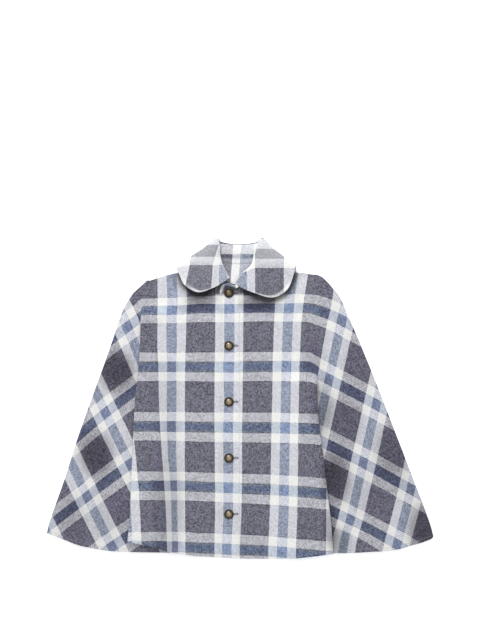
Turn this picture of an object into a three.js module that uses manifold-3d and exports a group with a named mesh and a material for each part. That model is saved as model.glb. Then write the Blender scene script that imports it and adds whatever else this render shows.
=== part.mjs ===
// Wool cape with a round collar and five buttons, laid flat on its back and buttoned up.
// Millimetres. X runs across the body, Y from the hem up to the collar, Z up from the surface it lies on.
// "right" and "left" are the wearer's, so the right front has negative X.
import * as THREE from 'three';
import { mergeVertices } from 'three/addons/utils/BufferGeometryUtils.js';
import Module from 'manifold-3d';

const CLOTH = 2;
const COLLAR_CLOTH = 2.4;
const SEAM_GAP = 0.3;
const LAY_GAP = 0.6;

// The left front lies on the right front between its free edge and the right front's hidden edge.
const PLACKET = { hiddenX: -3, level: 4, slopeLength: 34 };
const BUTTON = { x: -23, heights: [545, 437, 322, 207, 92], radius: 9.8, rim: 1.2, dome: 5.4, shank: 1.2 };
const BUTTONHOLE = { inward: 2.4, outward: 19, width: 3.2 };

// The back of the collar's fall lies on the floor, so the panels round the neck are lifted onto it.
const NECK_LIFT = { centreX: -3, halfWidth: 126, fade: 80, fullAbove: 546, startAbove: 480 };

// Pleat in each front: the cloth turns under at a mountain fold and out again at a valley fold.
// Arc lengths, the flat between the folds at the apex, the length over which the turns grow to half a
// circle, the length over which the front settles beyond the pleat, and how far it sags onto it.
const PLEAT = { mountainArc: 9.4, valleyArc: 5.5, flat: 1.5, turnAbove: 14, turnBelow: 36, settle: 85, sag: 0.15 };
const PLEAT_STEPS = { mountain: 5, flat: 2, valley: 4 };

// The fronts stand a little clear of the back away from their seams, more along the largest soft folds.
// They lie closer to it again towards the neck, between the two heights named here.
const PUFF = 3;
const CLOSE_AT_NECK = { from: 470, to: 545 };
const RIDGES = [
  { fromX: -150, fromY: 250, toX: -136, toY: 10, height: 4, width: 24 },
  { fromX: 92, fromY: 330, toX: 118, toY: 20, height: 4, width: 26 },
  { fromX: -300, fromY: 300, toX: -330, toY: 60, height: 4, width: 22 },
  { fromX: 262, fromY: 330, toX: 300, toY: 50, height: 4, width: 24 },
];

// Outlines of the panels as [x, y] in mm. rows are shares of the length from shoulder to hem, closer
// where the pleat begins. hemLift is how far the fold's corner is drawn up from the layers under it.
const RIGHT_FRONT = {
  side: -1,
  rows: [0, 0.03, 0.06, 0.085, 0.11, 0.135, 0.165, 0.21, 0.27, 0.34, 0.42, 0.51, 0.6, 0.69, 0.78, 0.86, 0.93, 1],
  opening: [[-3, 562], [-3, 1]],
  neck: [[-3, 562], [-21, 566], [-37, 574], [-54, 592], [-64, 609], [-66, 619]],
  shoulder: [[-66, 619], [-97, 600], [-127, 588], [-154, 581], [-185, 571]],
  shoulderEnd: [[-185, 571], [-203, 560], [-219, 546]],
  fold: [[-185, 571], [-201, 508], [-205, 422], [-211, 359], [-216, 301], [-224, 121], [-227, 70], [-230, 35]],
  edge: [[-219, 546], [-234, 523], [-247, 494], [-269, 428], [-328, 264], [-361, 162], [-390, 80], [-397, 52]],
  hem: [[-3, 1], [-47, 3], [-91, 6], [-115, 10], [-148, 16], [-185, 27], [-230, 35]],
  outerHem: [[-185, 13], [-230, 14], [-267, 16], [-293, 20], [-328, 27], [-357, 37], [-397, 52]],
  apexY: 508,
  pleatSlope: 0.2,
  hemLift: { height: 22, length: 110 },
};
const LEFT_FRONT = {
  side: 1,
  rows: [0, 0.04, 0.08, 0.13, 0.2, 0.27, 0.32, 0.355, 0.385, 0.415, 0.45, 0.5, 0.57, 0.65, 0.74, 0.83, 0.92, 1],
  opening: [[-42, 549], [-42, 3]],
  neck: [[-42, 549], [-39, 559], [-32, 565], [-23, 566], [-9, 562], [18, 570], [37, 582], [51, 601], [59, 619]],
  shoulder: [[59, 619], [88, 600], [118, 588], [151, 583]],
  shoulderEnd: [[151, 583], [172, 575], [196, 549]],
  fold: [[151, 583], [160, 469], [158, 375], [157, 326], [162, 264], [169, 213], [178, 137], [185, 80], [190, 11]],
  edge: [[196, 549], [207, 533], [219, 504], [231, 478], [252, 428], [285, 346], [356, 162], [387, 80], [397, 46]],
  hem: [[-42, 3], [-2, 1], [49, 0], [98, 1], [155, 6], [190, 11]],
  outerHem: [[190, 11], [233, 12], [266, 14], [295, 16], [328, 20], [348, 26], [371, 32], [397, 46]],
  apexY: 375,
  pleatSlope: 0.15,
  hemLift: { height: 4, length: 60 },
};
const FRONT_COLUMNS = { neck: 6, shoulder: 7, outer: 8 };
const BACK = {
  neck: [[-66, 619], [-56, 617], [-29, 614], [-2, 612], [24, 614], [51, 617], [59, 619]],
  hem: [[-397, 52], [-357, 41], [-293, 25], [-230, 19], [-134, 16], [-2, 10], [123, 12], [295, 21], [397, 46]],
  columns: { shoulderEnd: 3, shoulder: 5, neck: 6 },
  rows: [0, 0.03, 0.06, 0.09, 0.13, 0.18, 0.25, 0.34, 0.44, 0.55, 0.66, 0.77, 0.88, 1],
};

// Sections of the collar round the neck, from its right end at the opening round the back to its left
// end: seam, roll (the top of the stand) and outer edge of the fall. bend is the direction in degrees,
// from level, in which the fall leaves the stand: up on the fronts, down behind the neck.
const COLLAR = {
  columns: ['seamX', 'seamY', 'seamZ', 'rollX', 'rollY', 'rollZ', 'fallZ', 'edgeX', 'edgeY', 'edgeZ', 'bend'],
  rows: [
    [-25, 569, 9.0, -22, 577, 11.8, 15.0, -36, 566, 13.8, 90],
    [-38, 573, 9.0, -28, 586, 13.0, 15.8, -56, 556, 11.8, 90],
    [-57, 590, 9.2, -37, 605, 14.0, 16.6, -86, 547, 11.0, 90],
    [-66, 606, 10.4, -42, 625, 14.8, 17.0, -113, 561, 11.0, 90],
    [-69, 616, 11.8, -42, 642, 15.0, 17.0, -124, 582, 11.6, 80],
    [-69, 624, 11.2, -44, 652, 13.4, 14.0, -130, 596, 11.0, 45],
    [-66, 628, 9.0, -46, 657, 9.8, 7.4, -132, 600, 6.2, 0],
    [-60, 622, 7.0, -44, 655, 6.6, 2.2, -130, 597, 1.4, -45],
    [-50, 611, 6.4, -40, 650, 5.2, 1.2, -119, 583, 1.2, -80],
    [-29, 608, 6.4, -23, 646, 5.0, 1.2, -60, 566, 1.2, -90],
    [-2, 606, 6.4, -1, 645, 5.0, 1.2, -2, 560, 1.2, -90],
    [24, 608, 6.4, 20, 646, 5.0, 1.2, 55, 564, 1.2, -90],
    [44, 611, 6.4, 36, 650, 5.2, 1.2, 110, 580, 1.2, -80],
    [54, 622, 7.0, 40, 655, 6.6, 2.2, 120, 594, 1.4, -45],
    [60, 628, 9.0, 42, 658, 9.8, 7.4, 122, 597, 6.2, 0],
    [63, 624, 11.2, 40, 652, 13.4, 14.0, 120, 593, 11.0, 45],
    [63, 616, 11.8, 35, 641, 15.0, 17.0, 114, 580, 11.6, 80],
    [55, 600, 10.4, 29, 621, 14.8, 17.0, 99, 549, 11.0, 90],
    [40, 581, 9.4, 22, 601, 14.2, 16.8, 66, 533, 11.6, 90],
    [18, 568, 11.2, 10, 583, 14.4, 17.2, 22, 547, 14.0, 90],
    [-9, 555, 12.0, -7, 568, 14.8, 18.0, 0, 557, 16.6, 90],
  ],
  rollRun: 3,
  rollOffset: 2.8,
  foldedWall: 1,
  stepsAround: 40,
  stepsAcross: [0, 0.5, 1, 1.5, 2, 2.5, 3, 3.5, 4, 4.5, 5, 5.5, 6],
};

const WOOL = new THREE.MeshStandardMaterial({ color: 0x8d8e9c, roughness: 0.95, metalness: 0 });
const BRASS = new THREE.MeshStandardMaterial({ color: 0x6f5a3a, roughness: 0.4, metalness: 1 });

const { clamp, lerp } = THREE.MathUtils;

function smooth(from, to, value) {
  const share = clamp((value - from) / (to - from), 0, 1);
  return share * share * (3 - 2 * share);
}

// Function that gives the point at a share of the length of a smooth line through a few points
function lineThrough(points) {
  const corners = points.map(([x, y]) => new THREE.Vector3(x, y, 0));
  const curve = new THREE.CatmullRomCurve3(corners, false, 'catmullrom', 0.5);
  return (share) => curve.getPointAt(clamp(share, 0, 1));
}

// Function that follows several lines one after the other, each over its own share
function lineOf(pieces) {
  const total = pieces.reduce((sum, piece) => sum + piece.columns, 0);
  return (share) => {
    let left = clamp(share, 0, 1) * total;
    let index = 0;
    while (index < pieces.length - 1 && left > pieces[index].columns + 1e-6) {
      left -= pieces[index].columns;
      index += 1;
    }
    return pieces[index].line(left / pieces[index].columns);
  };
}

// Point of a panel that lies between four curved sides
function betweenSides({ top, bottom, near, far }, across, down) {
  const point = top(across).lerp(bottom(across), down);
  point.add(near(down).lerp(far(down), across));
  const upper = top(0).lerp(top(1), across);
  const lower = bottom(0).lerp(bottom(1), across);
  return point.sub(upper.lerp(lower, down));
}

function neckLift(x, y) {
  const aside = Math.abs(x - NECK_LIFT.centreX) - NECK_LIFT.halfWidth;
  const height = COLLAR_CLOTH + SEAM_GAP;
  return height * smooth(NECK_LIFT.fade, 0, aside) * smooth(NECK_LIFT.startAbove, NECK_LIFT.fullAbove, y);
}

function ridgeHeight(ridge, x, y) {
  const direction = new THREE.Vector2(ridge.toX - ridge.fromX, ridge.toY - ridge.fromY);
  const length = direction.length();
  direction.normalize();
  const offset = new THREE.Vector2(x - ridge.fromX, y - ridge.fromY);
  const aside = offset.cross(direction) / ridge.width;
  return ridge.height * smooth(0, length / 2, offset.dot(direction)) * Math.exp(-aside * aside);
}

// Height of a front's middle surface over the back. free is 0 at a seam and 1 well inside the panel.
function frontHeight(x, y, free) {
  const stand = RIDGES.reduce((sum, ridge) => sum + ridgeHeight(ridge, x, y), PUFF);
  const clearOfNeck = Math.min(free, smooth(CLOSE_AT_NECK.to, CLOSE_AT_NECK.from, y));
  const overBack = lerp(SEAM_GAP, LAY_GAP, free);
  return CLOTH * 1.5 + overBack + neckLift(x, y) + stand * clearOfNeck;
}

function placketRise(panel, x) {
  const slope = smooth(PLACKET.hiddenX + PLACKET.slopeLength, PLACKET.hiddenX + PLACKET.level, x);
  return panel.side > 0 ? (CLOTH + LAY_GAP) * slope : 0;
}

// Angle, radii, depth and height of the pleat where its fold line is at height y
function pleatAt(panel, y) {
  const below = panel.apexY - y;
  const angle = Math.max(0.02, Math.PI * smooth(-PLEAT.turnAbove, PLEAT.turnBelow, below));
  const mountain = PLEAT.mountainArc / angle;
  const valley = PLEAT.valleyArc / angle;
  const depth = PLEAT.flat + panel.pleatSlope * Math.max(0, below);
  const rise = (mountain + valley) * (1 - Math.cos(angle)) + depth * Math.sin(angle);
  const start = -mountain * Math.sin(Math.min(angle, Math.PI / 2));
  return { angle, mountain, valley, depth, rise, start };
}

// Section through the pleat: distance outward from the fold, height over the layer below, and the
// share of the way from the fold's line to the valley's line
function pleatSection({ angle, mountain, valley, depth, rise, start }) {
  const section = [];
  for (let i = 1; i <= PLEAT_STEPS.mountain; i += 1) {
    const turned = (angle * i) / PLEAT_STEPS.mountain;
    const out = start + mountain * Math.sin(turned);
    section.push({ out, up: rise - mountain * (1 - Math.cos(turned)), share: 0 });
  }
  const top = section[section.length - 1];
  for (let i = 1; i <= PLEAT_STEPS.flat; i += 1) {
    const run = (depth * i) / PLEAT_STEPS.flat;
    const out = top.out + run * Math.cos(angle);
    section.push({ out, up: top.up - run * Math.sin(angle), share: i / PLEAT_STEPS.flat });
  }
  const flat = section[section.length - 1];
  for (let i = 1; i <= PLEAT_STEPS.valley; i += 1) {
    const rest = angle - (angle * i) / PLEAT_STEPS.valley;
    const out = flat.out + valley * (Math.sin(angle) - Math.sin(rest));
    section.push({ out, up: flat.up - valley * (Math.cos(rest) - Math.cos(angle)), share: 1 });
  }
  return section;
}

// Middle surface of a front, as rows of points from the opening through the pleat to the side seam
function frontSurface(panel) {
  const fold = lineThrough(panel.fold);
  const hemY = fold(1).y;
  const startOfTurn = (down) => {
    const point = fold(down);
    return point.setX(point.x + panel.side * pleatAt(panel, point.y).start);
  };
  const valley = (down) => {
    const point = fold(down);
    const drop = panel.hemLift.height * smooth(panel.hemLift.length, 0, point.y - hemY);
    const reach = pleatSection(pleatAt(panel, point.y)).at(-1).out;
    return point.set(point.x + panel.side * reach, point.y - drop, 0);
  };
  const pulledTo = (line, end) => (share) => {
    const point = line(share);
    return point.add(end.clone().sub(line(1)).multiplyScalar(smooth(0.5, 1, share)));
  };
  const upperLine = lineOf([
    { line: lineThrough(panel.neck), columns: FRONT_COLUMNS.neck },
    { line: lineThrough(panel.shoulder), columns: FRONT_COLUMNS.shoulder },
  ]);
  const inner = {
    top: pulledTo(upperLine, startOfTurn(0)),
    bottom: pulledTo(lineThrough(panel.hem), startOfTurn(1)),
    near: lineThrough(panel.opening),
    far: startOfTurn,
  };
  const valleyEnds = [valley(0), valley(1)];
  const shoulderEnd = lineThrough([valleyEnds[0].toArray(), ...panel.shoulderEnd.slice(1)]);
  const outerHem = lineThrough([valleyEnds[1].toArray(), ...panel.outerHem]);
  const outer = { top: shoulderEnd, bottom: outerHem, near: valley, far: lineThrough(panel.edge) };
  const innerColumns = FRONT_COLUMNS.neck + FRONT_COLUMNS.shoulder;

  return panel.rows.map((down) => {
    const edgeOfFold = fold(down);
    const pleat = pleatAt(panel, edgeOfFold.y);
    const free = smooth(0, 0.1, down);
    const row = [];
    for (let i = 0; i <= innerColumns; i += 1) {
      const { x, y } = betweenSides(inner, i / innerColumns, down);
      const inward = Math.abs(edgeOfFold.x - x);
      const onPleat = 1 - PLEAT.sag * clamp(inward / pleat.depth, 0, 1);
      const raised = pleat.rise * onPleat * smooth(pleat.depth + PLEAT.settle, pleat.depth, inward);
      row.push(new THREE.Vector3(x, y, frontHeight(x, y, free) + placketRise(panel, x) + raised));
    }
    const valleyY = valley(down).y;
    pleatSection(pleat).forEach(({ out, up, share }) => {
      const x = edgeOfFold.x + panel.side * out;
      const y = lerp(edgeOfFold.y, valleyY, share);
      row.push(new THREE.Vector3(x, y, frontHeight(x, y, free) + up));
    });
    for (let i = 1; i <= FRONT_COLUMNS.outer; i += 1) {
      const across = i / FRONT_COLUMNS.outer;
      const { x, y } = betweenSides(outer, across, down);
      row.push(new THREE.Vector3(x, y, frontHeight(x, y, free * smooth(0, 0.4, 1 - across))));
    }
    return row;
  });
}

// Middle surface of the back, from the right side seam to the left one
function backSurface() {
  const reversed = (points) => lineThrough([...points].reverse());
  const { columns } = BACK;
  const top = lineOf([
    { line: reversed(RIGHT_FRONT.shoulderEnd), columns: columns.shoulderEnd },
    { line: reversed(RIGHT_FRONT.shoulder), columns: columns.shoulder },
    { line: lineThrough(BACK.neck), columns: columns.neck },
    { line: lineThrough(LEFT_FRONT.shoulder), columns: columns.shoulder },
    { line: lineThrough(LEFT_FRONT.shoulderEnd), columns: columns.shoulderEnd },
  ]);
  const sides = {
    top,
    bottom: lineThrough(BACK.hem),
    near: lineThrough(RIGHT_FRONT.edge),
    far: lineThrough(LEFT_FRONT.edge),
  };
  const total = 2 * (columns.shoulderEnd + columns.shoulder) + columns.neck;
  const surface = [];
  BACK.rows.forEach((down) => {
    const row = [];
    for (let c = 0; c <= total; c += 1) {
      const { x, y } = betweenSides(sides, c / total, down);
      row.push(new THREE.Vector3(x, y, CLOTH / 2 + neckLift(x, y)));
    }
    surface.push(row);
  });
  return surface;
}

// Middle surface of the collar: each row runs from the seam over the roll to the outer edge
function collarSurface() {
  const controls = COLLAR.rows.map((values) => {
    const at = Object.fromEntries(COLLAR.columns.map((name, i) => [name, values[i]]));
    const seam = new THREE.Vector3(at.seamX, at.seamY, at.seamZ);
    const roll = new THREE.Vector3(at.rollX, at.rollY, at.rollZ);
    const edge = new THREE.Vector3(at.edgeX, at.edgeY, at.edgeZ);
    const toSeam = seam.clone().sub(roll).setZ(0);
    const toEdge = edge.clone().sub(roll).setZ(0);
    const seamRun = Math.min(COLLAR.rollRun, 0.4 * toSeam.length());
    const edgeRun = Math.min(COLLAR.rollRun, 0.2 * toEdge.length());
    const middle = toSeam.clone().normalize().add(toEdge.clone().normalize()).normalize();
    const aside = new THREE.Vector3(-middle.y, middle.x, 0);
    aside.multiplyScalar(Math.sign(aside.dot(toEdge)) || 1);
    const bend = THREE.MathUtils.degToRad(at.bend);
    const turn = aside.multiplyScalar(Math.cos(bend)).setZ(Math.sin(bend)).multiplyScalar(COLLAR.rollOffset);
    const underRoll = roll.clone().addScaledVector(toSeam.normalize(), seamRun).sub(turn);
    const overRoll = roll.clone().addScaledVector(toEdge.clone().normalize(), edgeRun).add(turn);
    const upperFall = roll.clone().addScaledVector(toEdge, 0.32).setZ(at.fallZ);
    const lowerFall = roll.clone().addScaledVector(toEdge, 0.68).setZ(lerp(at.fallZ, at.edgeZ, 0.4));
    return [seam, underRoll, roll, overRoll, upperFall, lowerFall, edge];
  });
  const rails = controls[0].map((_, i) => {
    return new THREE.CatmullRomCurve3(controls.map((section) => section[i]), false, 'catmullrom', 0.5);
  });
  const surface = [];
  for (let a = 0; a <= COLLAR.stepsAround; a += 1) {
    const knots = rails.map((rail) => rail.getPoint(a / COLLAR.stepsAround));
    const section = new THREE.CatmullRomCurve3(knots, false, 'centripetal');
    const row = COLLAR.stepsAcross.map((step) => section.getPoint(step / (knots.length - 1)));
    row.forEach((point) => point.setZ(Math.max(point.z, COLLAR_CLOTH / 2)));
    surface.push(row);
  }
  return surface;
}

// Thickness of the collar at each section: pressed thinner where the fall doubles back at the shoulders
function collarThickness(surface) {
  const bends = COLLAR.rows.map((values) => values[COLLAR.columns.indexOf('bend')]);
  return surface.map((_, a) => {
    const place = (a / COLLAR.stepsAround) * (bends.length - 1);
    const index = Math.min(Math.floor(place), bends.length - 2);
    const bend = lerp(bends[index], bends[index + 1], place - index);
    return lerp(COLLAR_CLOTH, COLLAR.foldedWall, Math.cos(THREE.MathUtils.degToRad(bend)));
  });
}

// Closed wall about a middle surface, with one thickness for each row of its points
function wallFrom(surface, thicknesses) {
  const rows = surface.length;
  const columns = surface[0].length;
  const at = (r, c) => surface[clamp(r, 0, rows - 1)][clamp(c, 0, columns - 1)];
  const positions = [];
  [1, -1].forEach((sign) => {
    for (let r = 0; r < rows; r += 1) {
      for (let c = 0; c < columns; c += 1) {
        const along = at(r, c + 1).clone().sub(at(r, c - 1));
        const down = at(r + 1, c).clone().sub(at(r - 1, c));
        const normal = along.cross(down).normalize();
        positions.push(...at(r, c).clone().addScaledVector(normal, (sign * thicknesses[r]) / 2).toArray());
      }
    }
  });
  const upper = (r, c) => r * columns + c;
  const lower = (r, c) => rows * columns + upper(r, c);
  const triangles = [];
  const quad = (a, b, c, d) => triangles.push(a, b, c, a, c, d);
  for (let r = 0; r < rows - 1; r += 1) {
    for (let c = 0; c < columns - 1; c += 1) {
      quad(upper(r, c), upper(r, c + 1), upper(r + 1, c + 1), upper(r + 1, c));
      quad(lower(r, c), lower(r + 1, c), lower(r + 1, c + 1), lower(r, c + 1));
    }
    quad(upper(r, 0), upper(r + 1, 0), lower(r + 1, 0), lower(r, 0));
    quad(upper(r + 1, columns - 1), upper(r, columns - 1), lower(r, columns - 1), lower(r + 1, columns - 1));
  }
  for (let c = 0; c < columns - 1; c += 1) {
    quad(upper(0, c + 1), upper(0, c), lower(0, c), lower(0, c + 1));
    quad(upper(rows - 1, c), upper(rows - 1, c + 1), lower(rows - 1, c + 1), lower(rows - 1, c));
  }
  const geometry = new THREE.BufferGeometry();
  geometry.setAttribute('position', new THREE.Float32BufferAttribute(positions, 3));
  geometry.setIndex(triangles);
  return geometry;
}

const wasm = await Module();
wasm.setup();

function solidOf(geometry) {
  const bare = geometry.clone();
  bare.deleteAttribute('normal');
  bare.deleteAttribute('uv');
  const merged = mergeVertices(bare, 1e-4);
  const vertProperties = new Float32Array(merged.attributes.position.array);
  const triVerts = new Uint32Array(merged.index.array);
  return new wasm.Manifold(new wasm.Mesh({ numProp: 3, vertProperties, triVerts }));
}

function geometryOf(solid) {
  const mesh = solid.getMesh();
  const geometry = new THREE.BufferGeometry();
  geometry.setAttribute('position', new THREE.Float32BufferAttribute(mesh.vertProperties, 3));
  geometry.setIndex(Array.from(mesh.triVerts));
  return geometry;
}

// Buttonhole cutter: a slot with round ends that runs outward from the button
function buttonholeCutter(height) {
  const round = BUTTONHOLE.width / 2;
  const slot = new THREE.Shape();
  slot.absarc(BUTTON.x - BUTTONHOLE.inward + round, 0, round, Math.PI / 2, (3 * Math.PI) / 2);
  slot.absarc(BUTTON.x + BUTTONHOLE.outward - round, 0, round, -Math.PI / 2, Math.PI / 2);
  const cutter = new THREE.ExtrudeGeometry(slot, { depth: 30, bevelEnabled: false, curveSegments: 5 });
  return solidOf(cutter.translate(0, height, 0));
}

// Domed button with its shank, as a turned profile whose base is at height 0
function buttonGeometry() {
  const { radius, rim, dome, shank } = BUTTON;
  const shankLength = CLOTH + LAY_GAP;
  const profile = [new THREE.Vector2(0, -shankLength), new THREE.Vector2(shank, -shankLength)];
  profile.push(new THREE.Vector2(shank, 0), new THREE.Vector2(radius - rim, 0), new THREE.Vector2(radius, rim));
  const domeSteps = 6;
  for (let i = 1; i <= domeSteps; i += 1) {
    const angle = (Math.PI / 2) * (i / domeSteps);
    profile.push(new THREE.Vector2(i === domeSteps ? 0 : radius * Math.cos(angle), rim + dome * Math.sin(angle)));
  }
  return new THREE.LatheGeometry(profile, 18).rotateX(Math.PI / 2);
}

function panelWall(surface) {
  return wallFrom(surface, surface.map(() => CLOTH));
}

function clothMesh(name, geometry) {
  const mesh = new THREE.Mesh(geometry, WOOL);
  mesh.name = name;
  return mesh;
}

const leftFrontSolid = BUTTON.heights.reduce(
  (solid, height) => solid.subtract(buttonholeCutter(height)),
  solidOf(panelWall(frontSurface(LEFT_FRONT))),
);

const cape = new THREE.Group();
cape.name = 'cape';
cape.add(clothMesh('back', panelWall(backSurface())));
cape.add(clothMesh('front_right', panelWall(frontSurface(RIGHT_FRONT))));
cape.add(clothMesh('front_left', geometryOf(leftFrontSolid)));
const collar = collarSurface();
cape.add(clothMesh('collar', wallFrom(collar, collarThickness(collar))));
BUTTON.heights.forEach((height, index) => {
  const button = new THREE.Mesh(buttonGeometry(), BRASS);
  button.name = `button_${index + 1}`;
  const clothTop = frontHeight(BUTTON.x, height, 1) + CLOTH + LAY_GAP + CLOTH / 2;
  button.position.set(BUTTON.x, height, clothTop + SEAM_GAP);
  cape.add(button);
});

// The origin is below the middle of the whole cape's box.
const box = new THREE.Box3().setFromObject(cape, true);
const middle = box.getCenter(new THREE.Vector3());
cape.position.set(-middle.x, -middle.y, -box.min.z);
cape.updateMatrixWorld(true);

export default cape;
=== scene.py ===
"""Checked wool cape with a round collar and domed brass buttons, laid flat and buttoned up.

The tables are in millimetres in the cutter's own frame: X across the body, Y from the hem up to the
collar, Z up from the floor. "right" and "left" are the wearer's. The pieces are in metres in the row
frame. The cloth's pattern is laid out on the flat cloth, in steps of the chart below.
"""

import math

import bmesh
import bpy
import numpy as np
from bpy.props import FloatProperty, FloatVectorProperty, PointerProperty
from mathutils import Matrix, Vector


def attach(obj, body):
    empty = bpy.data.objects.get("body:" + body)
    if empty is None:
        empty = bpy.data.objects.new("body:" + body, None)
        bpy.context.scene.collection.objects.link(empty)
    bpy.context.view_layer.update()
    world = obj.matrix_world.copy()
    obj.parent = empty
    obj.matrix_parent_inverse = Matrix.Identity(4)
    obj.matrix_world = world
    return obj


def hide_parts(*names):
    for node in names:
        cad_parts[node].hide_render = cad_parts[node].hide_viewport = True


bl_info = {
    "name": "Checked wool cape",
    "version": (1, 0, 0),
    "blender": (4, 5, 0),
    "location": "3D View > Sidebar > Cape",
    "description": "Cloth, collar, buttons, stitching and light of a cape laid flat",
    "category": "Object",
}

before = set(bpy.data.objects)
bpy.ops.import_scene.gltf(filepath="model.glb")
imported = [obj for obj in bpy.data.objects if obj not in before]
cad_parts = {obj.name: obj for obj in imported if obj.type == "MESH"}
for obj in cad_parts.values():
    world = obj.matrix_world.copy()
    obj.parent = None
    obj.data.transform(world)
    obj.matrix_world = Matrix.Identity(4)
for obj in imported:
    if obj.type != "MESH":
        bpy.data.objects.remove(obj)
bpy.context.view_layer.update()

MM = 0.001
ORIGIN_Y = 329.53

# One step of the cloth chart in mm, and where its zero lies: X = (u - 240.15) steps, Y = (559 - v) steps
STEP = 2.05
CHART = {"u": 240.15, "v": 559.0}

CLOTH = 2.0
COLLAR_CLOTH = 2.4
SEAM_GAP = 0.3
LAY_GAP = 0.6
PLACKET = {"hidden_x": -3, "level": 4, "slope_length": 34, "stitching": [(-37.5, 553), (-1.5, 556)]}

# The button's back, groove and crown start that far in from its rim; "bright" dims a button's rubbed
# crown, where it isn't full: on the top button this is painted shade, as the collar shades it
BUTTON = {
    "x": -23,
    "heights": [545, 437, 322, 207, 92],
    "radius": 9.8,
    "dome": 5.4,
    "shank": 1.2,
    "back": 0.9,
    "rim": 0.75,
    "groove": (1.25, 1.05),
    "crown": (1.5, 1.2),
    "bright": {1: 0.45},
}
BUTTONHOLE = {"inward": 2.4, "outward": 19, "width": 3.2, "above": 4, "below": 5.5}
THREAD_LIFT = 0.05
EDGE_STITCH = {"length": 1.9, "pitch": 0.95, "outside": 0.35}

# Rise of the fronts and the back over the collar's pressed layers, the soft pleat of each front with the
# arcs of its roll and the stretch that its shade darkens, and how the cloth settles at the neck
NECK_LIFT = {"centre_x": -3, "half_width": 126, "fade": 80, "full_above": 546, "start_above": 480}
PLEAT = {
    "mountain_arc": 9.4,
    "valley_arc": 5.5,
    "flat": 1.5,
    "turn_above": 14,
    "turn_below": 36,
    "settle": 85,
    "sag": 0.15,
    "shaded_below": (40, 120),
    "shaded_across": 0.3,
}
PUFF = 3
CLOSE_AT_NECK = {"from": 470, "to": 545}

# Largest soft folds, as in the solids: from x, from y, to x, to y, height, width
RIDGES = [
    (-150, 250, -136, 10, 4, 24),
    (92, 330, 118, 20, 4, 26),
    (-300, 300, -330, 60, 4, 22),
    (262, 330, 300, 50, 4, 24),
]

# Smaller creases that only the cloth shows: from x, from y, to x, to y, height, width, bow
CREASES = [
    (-158, 320, -150, 6, 2.6, 9, -6),
    (-176, 250, -182, 20, -1.5, 8, 4),
    (-118, 210, -104, 4, -1.6, 13, 5),
    (-88, 470, -96, 250, 1.2, 15, 6),
    (-64, 300, -72, 6, 1.1, 16, -5),
    (30, 300, 22, 4, 1.0, 17, 5),
    (62, 470, 74, 180, 1.4, 18, -8),
    (128, 420, 138, 250, -1.8, 11, 6),
    (112, 300, 132, 30, 1.6, 14, -6),
    (150, 460, 158, 360, 1.5, 13, 4),
    (-214, 470, -262, 250, 1.6, 13, 8),
    (-236, 330, -290, 70, 1.3, 16, -10),
    (-268, 300, -330, 90, -1.5, 12, 6),
    (-236, 170, -262, 20, 1.5, 13, 4),
    (-322, 230, -368, 70, 1.3, 12, -5),
    (176, 500, 228, 330, 1.6, 14, -8),
    (180, 330, 222, 110, 1.5, 15, 9),
    (214, 300, 262, 60, -1.5, 13, -6),
    (206, 120, 214, 12, 1.6, 12, 3),
    (290, 270, 346, 90, 1.4, 14, 6),
    (330, 190, 372, 70, -1.2, 11, -4),
    (-196, 545, -176, 470, 1.2, 12, 4),
    (140, 560, 122, 470, 1.0, 15, -4),
]

# Patches of painted shade on the fronts and sides: x, y, reach across, reach up, depth
PAINTED_SHADE_PATCHES = [
    (-253, 386, 36, 43, 0.54),
    (-295, 214, 35, 44, 0.54),
    (-270, 90, 46, 60, 0.12),
    (196, 168, 30, 54, 0.56),
    (168, 312, 22, 50, 0.36),
    (204, 34, 22, 30, 0.32),
    (184, 66, 15, 46, 0.36),
    (312, 226, 40, 50, 0.3),
    (378, 62, 36, 50, 0.52),
    (216, 284, 38, 54, 0.22),
    (256, 130, 40, 52, 0.12),
    (244, 400, 34, 50, 0.14),
    (-80, 533, 34, 15, 0.5),
    (34, 526, 34, 15, 0.5),
    (-90, 514, 46, 9, 0.14),
    (42, 512, 42, 9, 0.14),
    (-12, 553, 18, 6, 0.3),
    (-148, 120, 30, 140, 0.26),
    (-148, 330, 30, 100, 0.12),
    (-344, 85, 30, 50, 0.2),
    (325, 165, 44, 50, 0.12),
    (150, 414, 24, 44, 0.14),
]

# Creases of the hidden back, on its underside
BACK_CREASES = [
    (-250, 380, -318, 70, 0.5, 17, 8),
    (-128, 470, -150, 60, 0.6, 20, -10),
    (-20, 520, -34, 120, 0.5, 22, 9),
    (96, 440, 128, 50, 0.6, 19, 12),
    (226, 400, 286, 60, 0.5, 18, -7),
]

RIGHT_FRONT = {
    "side": -1,
    "opening": [(-3, 562), (-3, 1)],
    "neck": [(-3, 562), (-21, 566), (-37, 574), (-54, 592), (-64, 609), (-66, 619)],
    "shoulder": [(-66, 619), (-97, 600), (-127, 588), (-154, 581), (-185, 571)],
    "shoulder_end": [(-185, 571), (-203, 560), (-219, 546)],
    "fold": [
        (-185, 571), (-201, 508), (-205, 422), (-211, 359), (-216, 301), (-224, 121), (-227, 70), (-230, 35),
    ],
    "edge": [
        (-219, 546), (-234, 523), (-247, 494), (-269, 428), (-328, 264), (-361, 162), (-390, 80), (-397, 52),
    ],
    "hem": [(-3, 1), (-47, 3), (-91, 6), (-115, 10), (-148, 16), (-185, 27), (-230, 35)],
    "outer_hem": [(-185, 13), (-230, 14), (-267, 16), (-293, 20), (-328, 27), (-357, 37), (-397, 52)],
    "apex_y": 508,
    "pleat_slope": 0.2,
    "pleat_shade": 0.16,
    "hem_lift": (22, 110),
}
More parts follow.
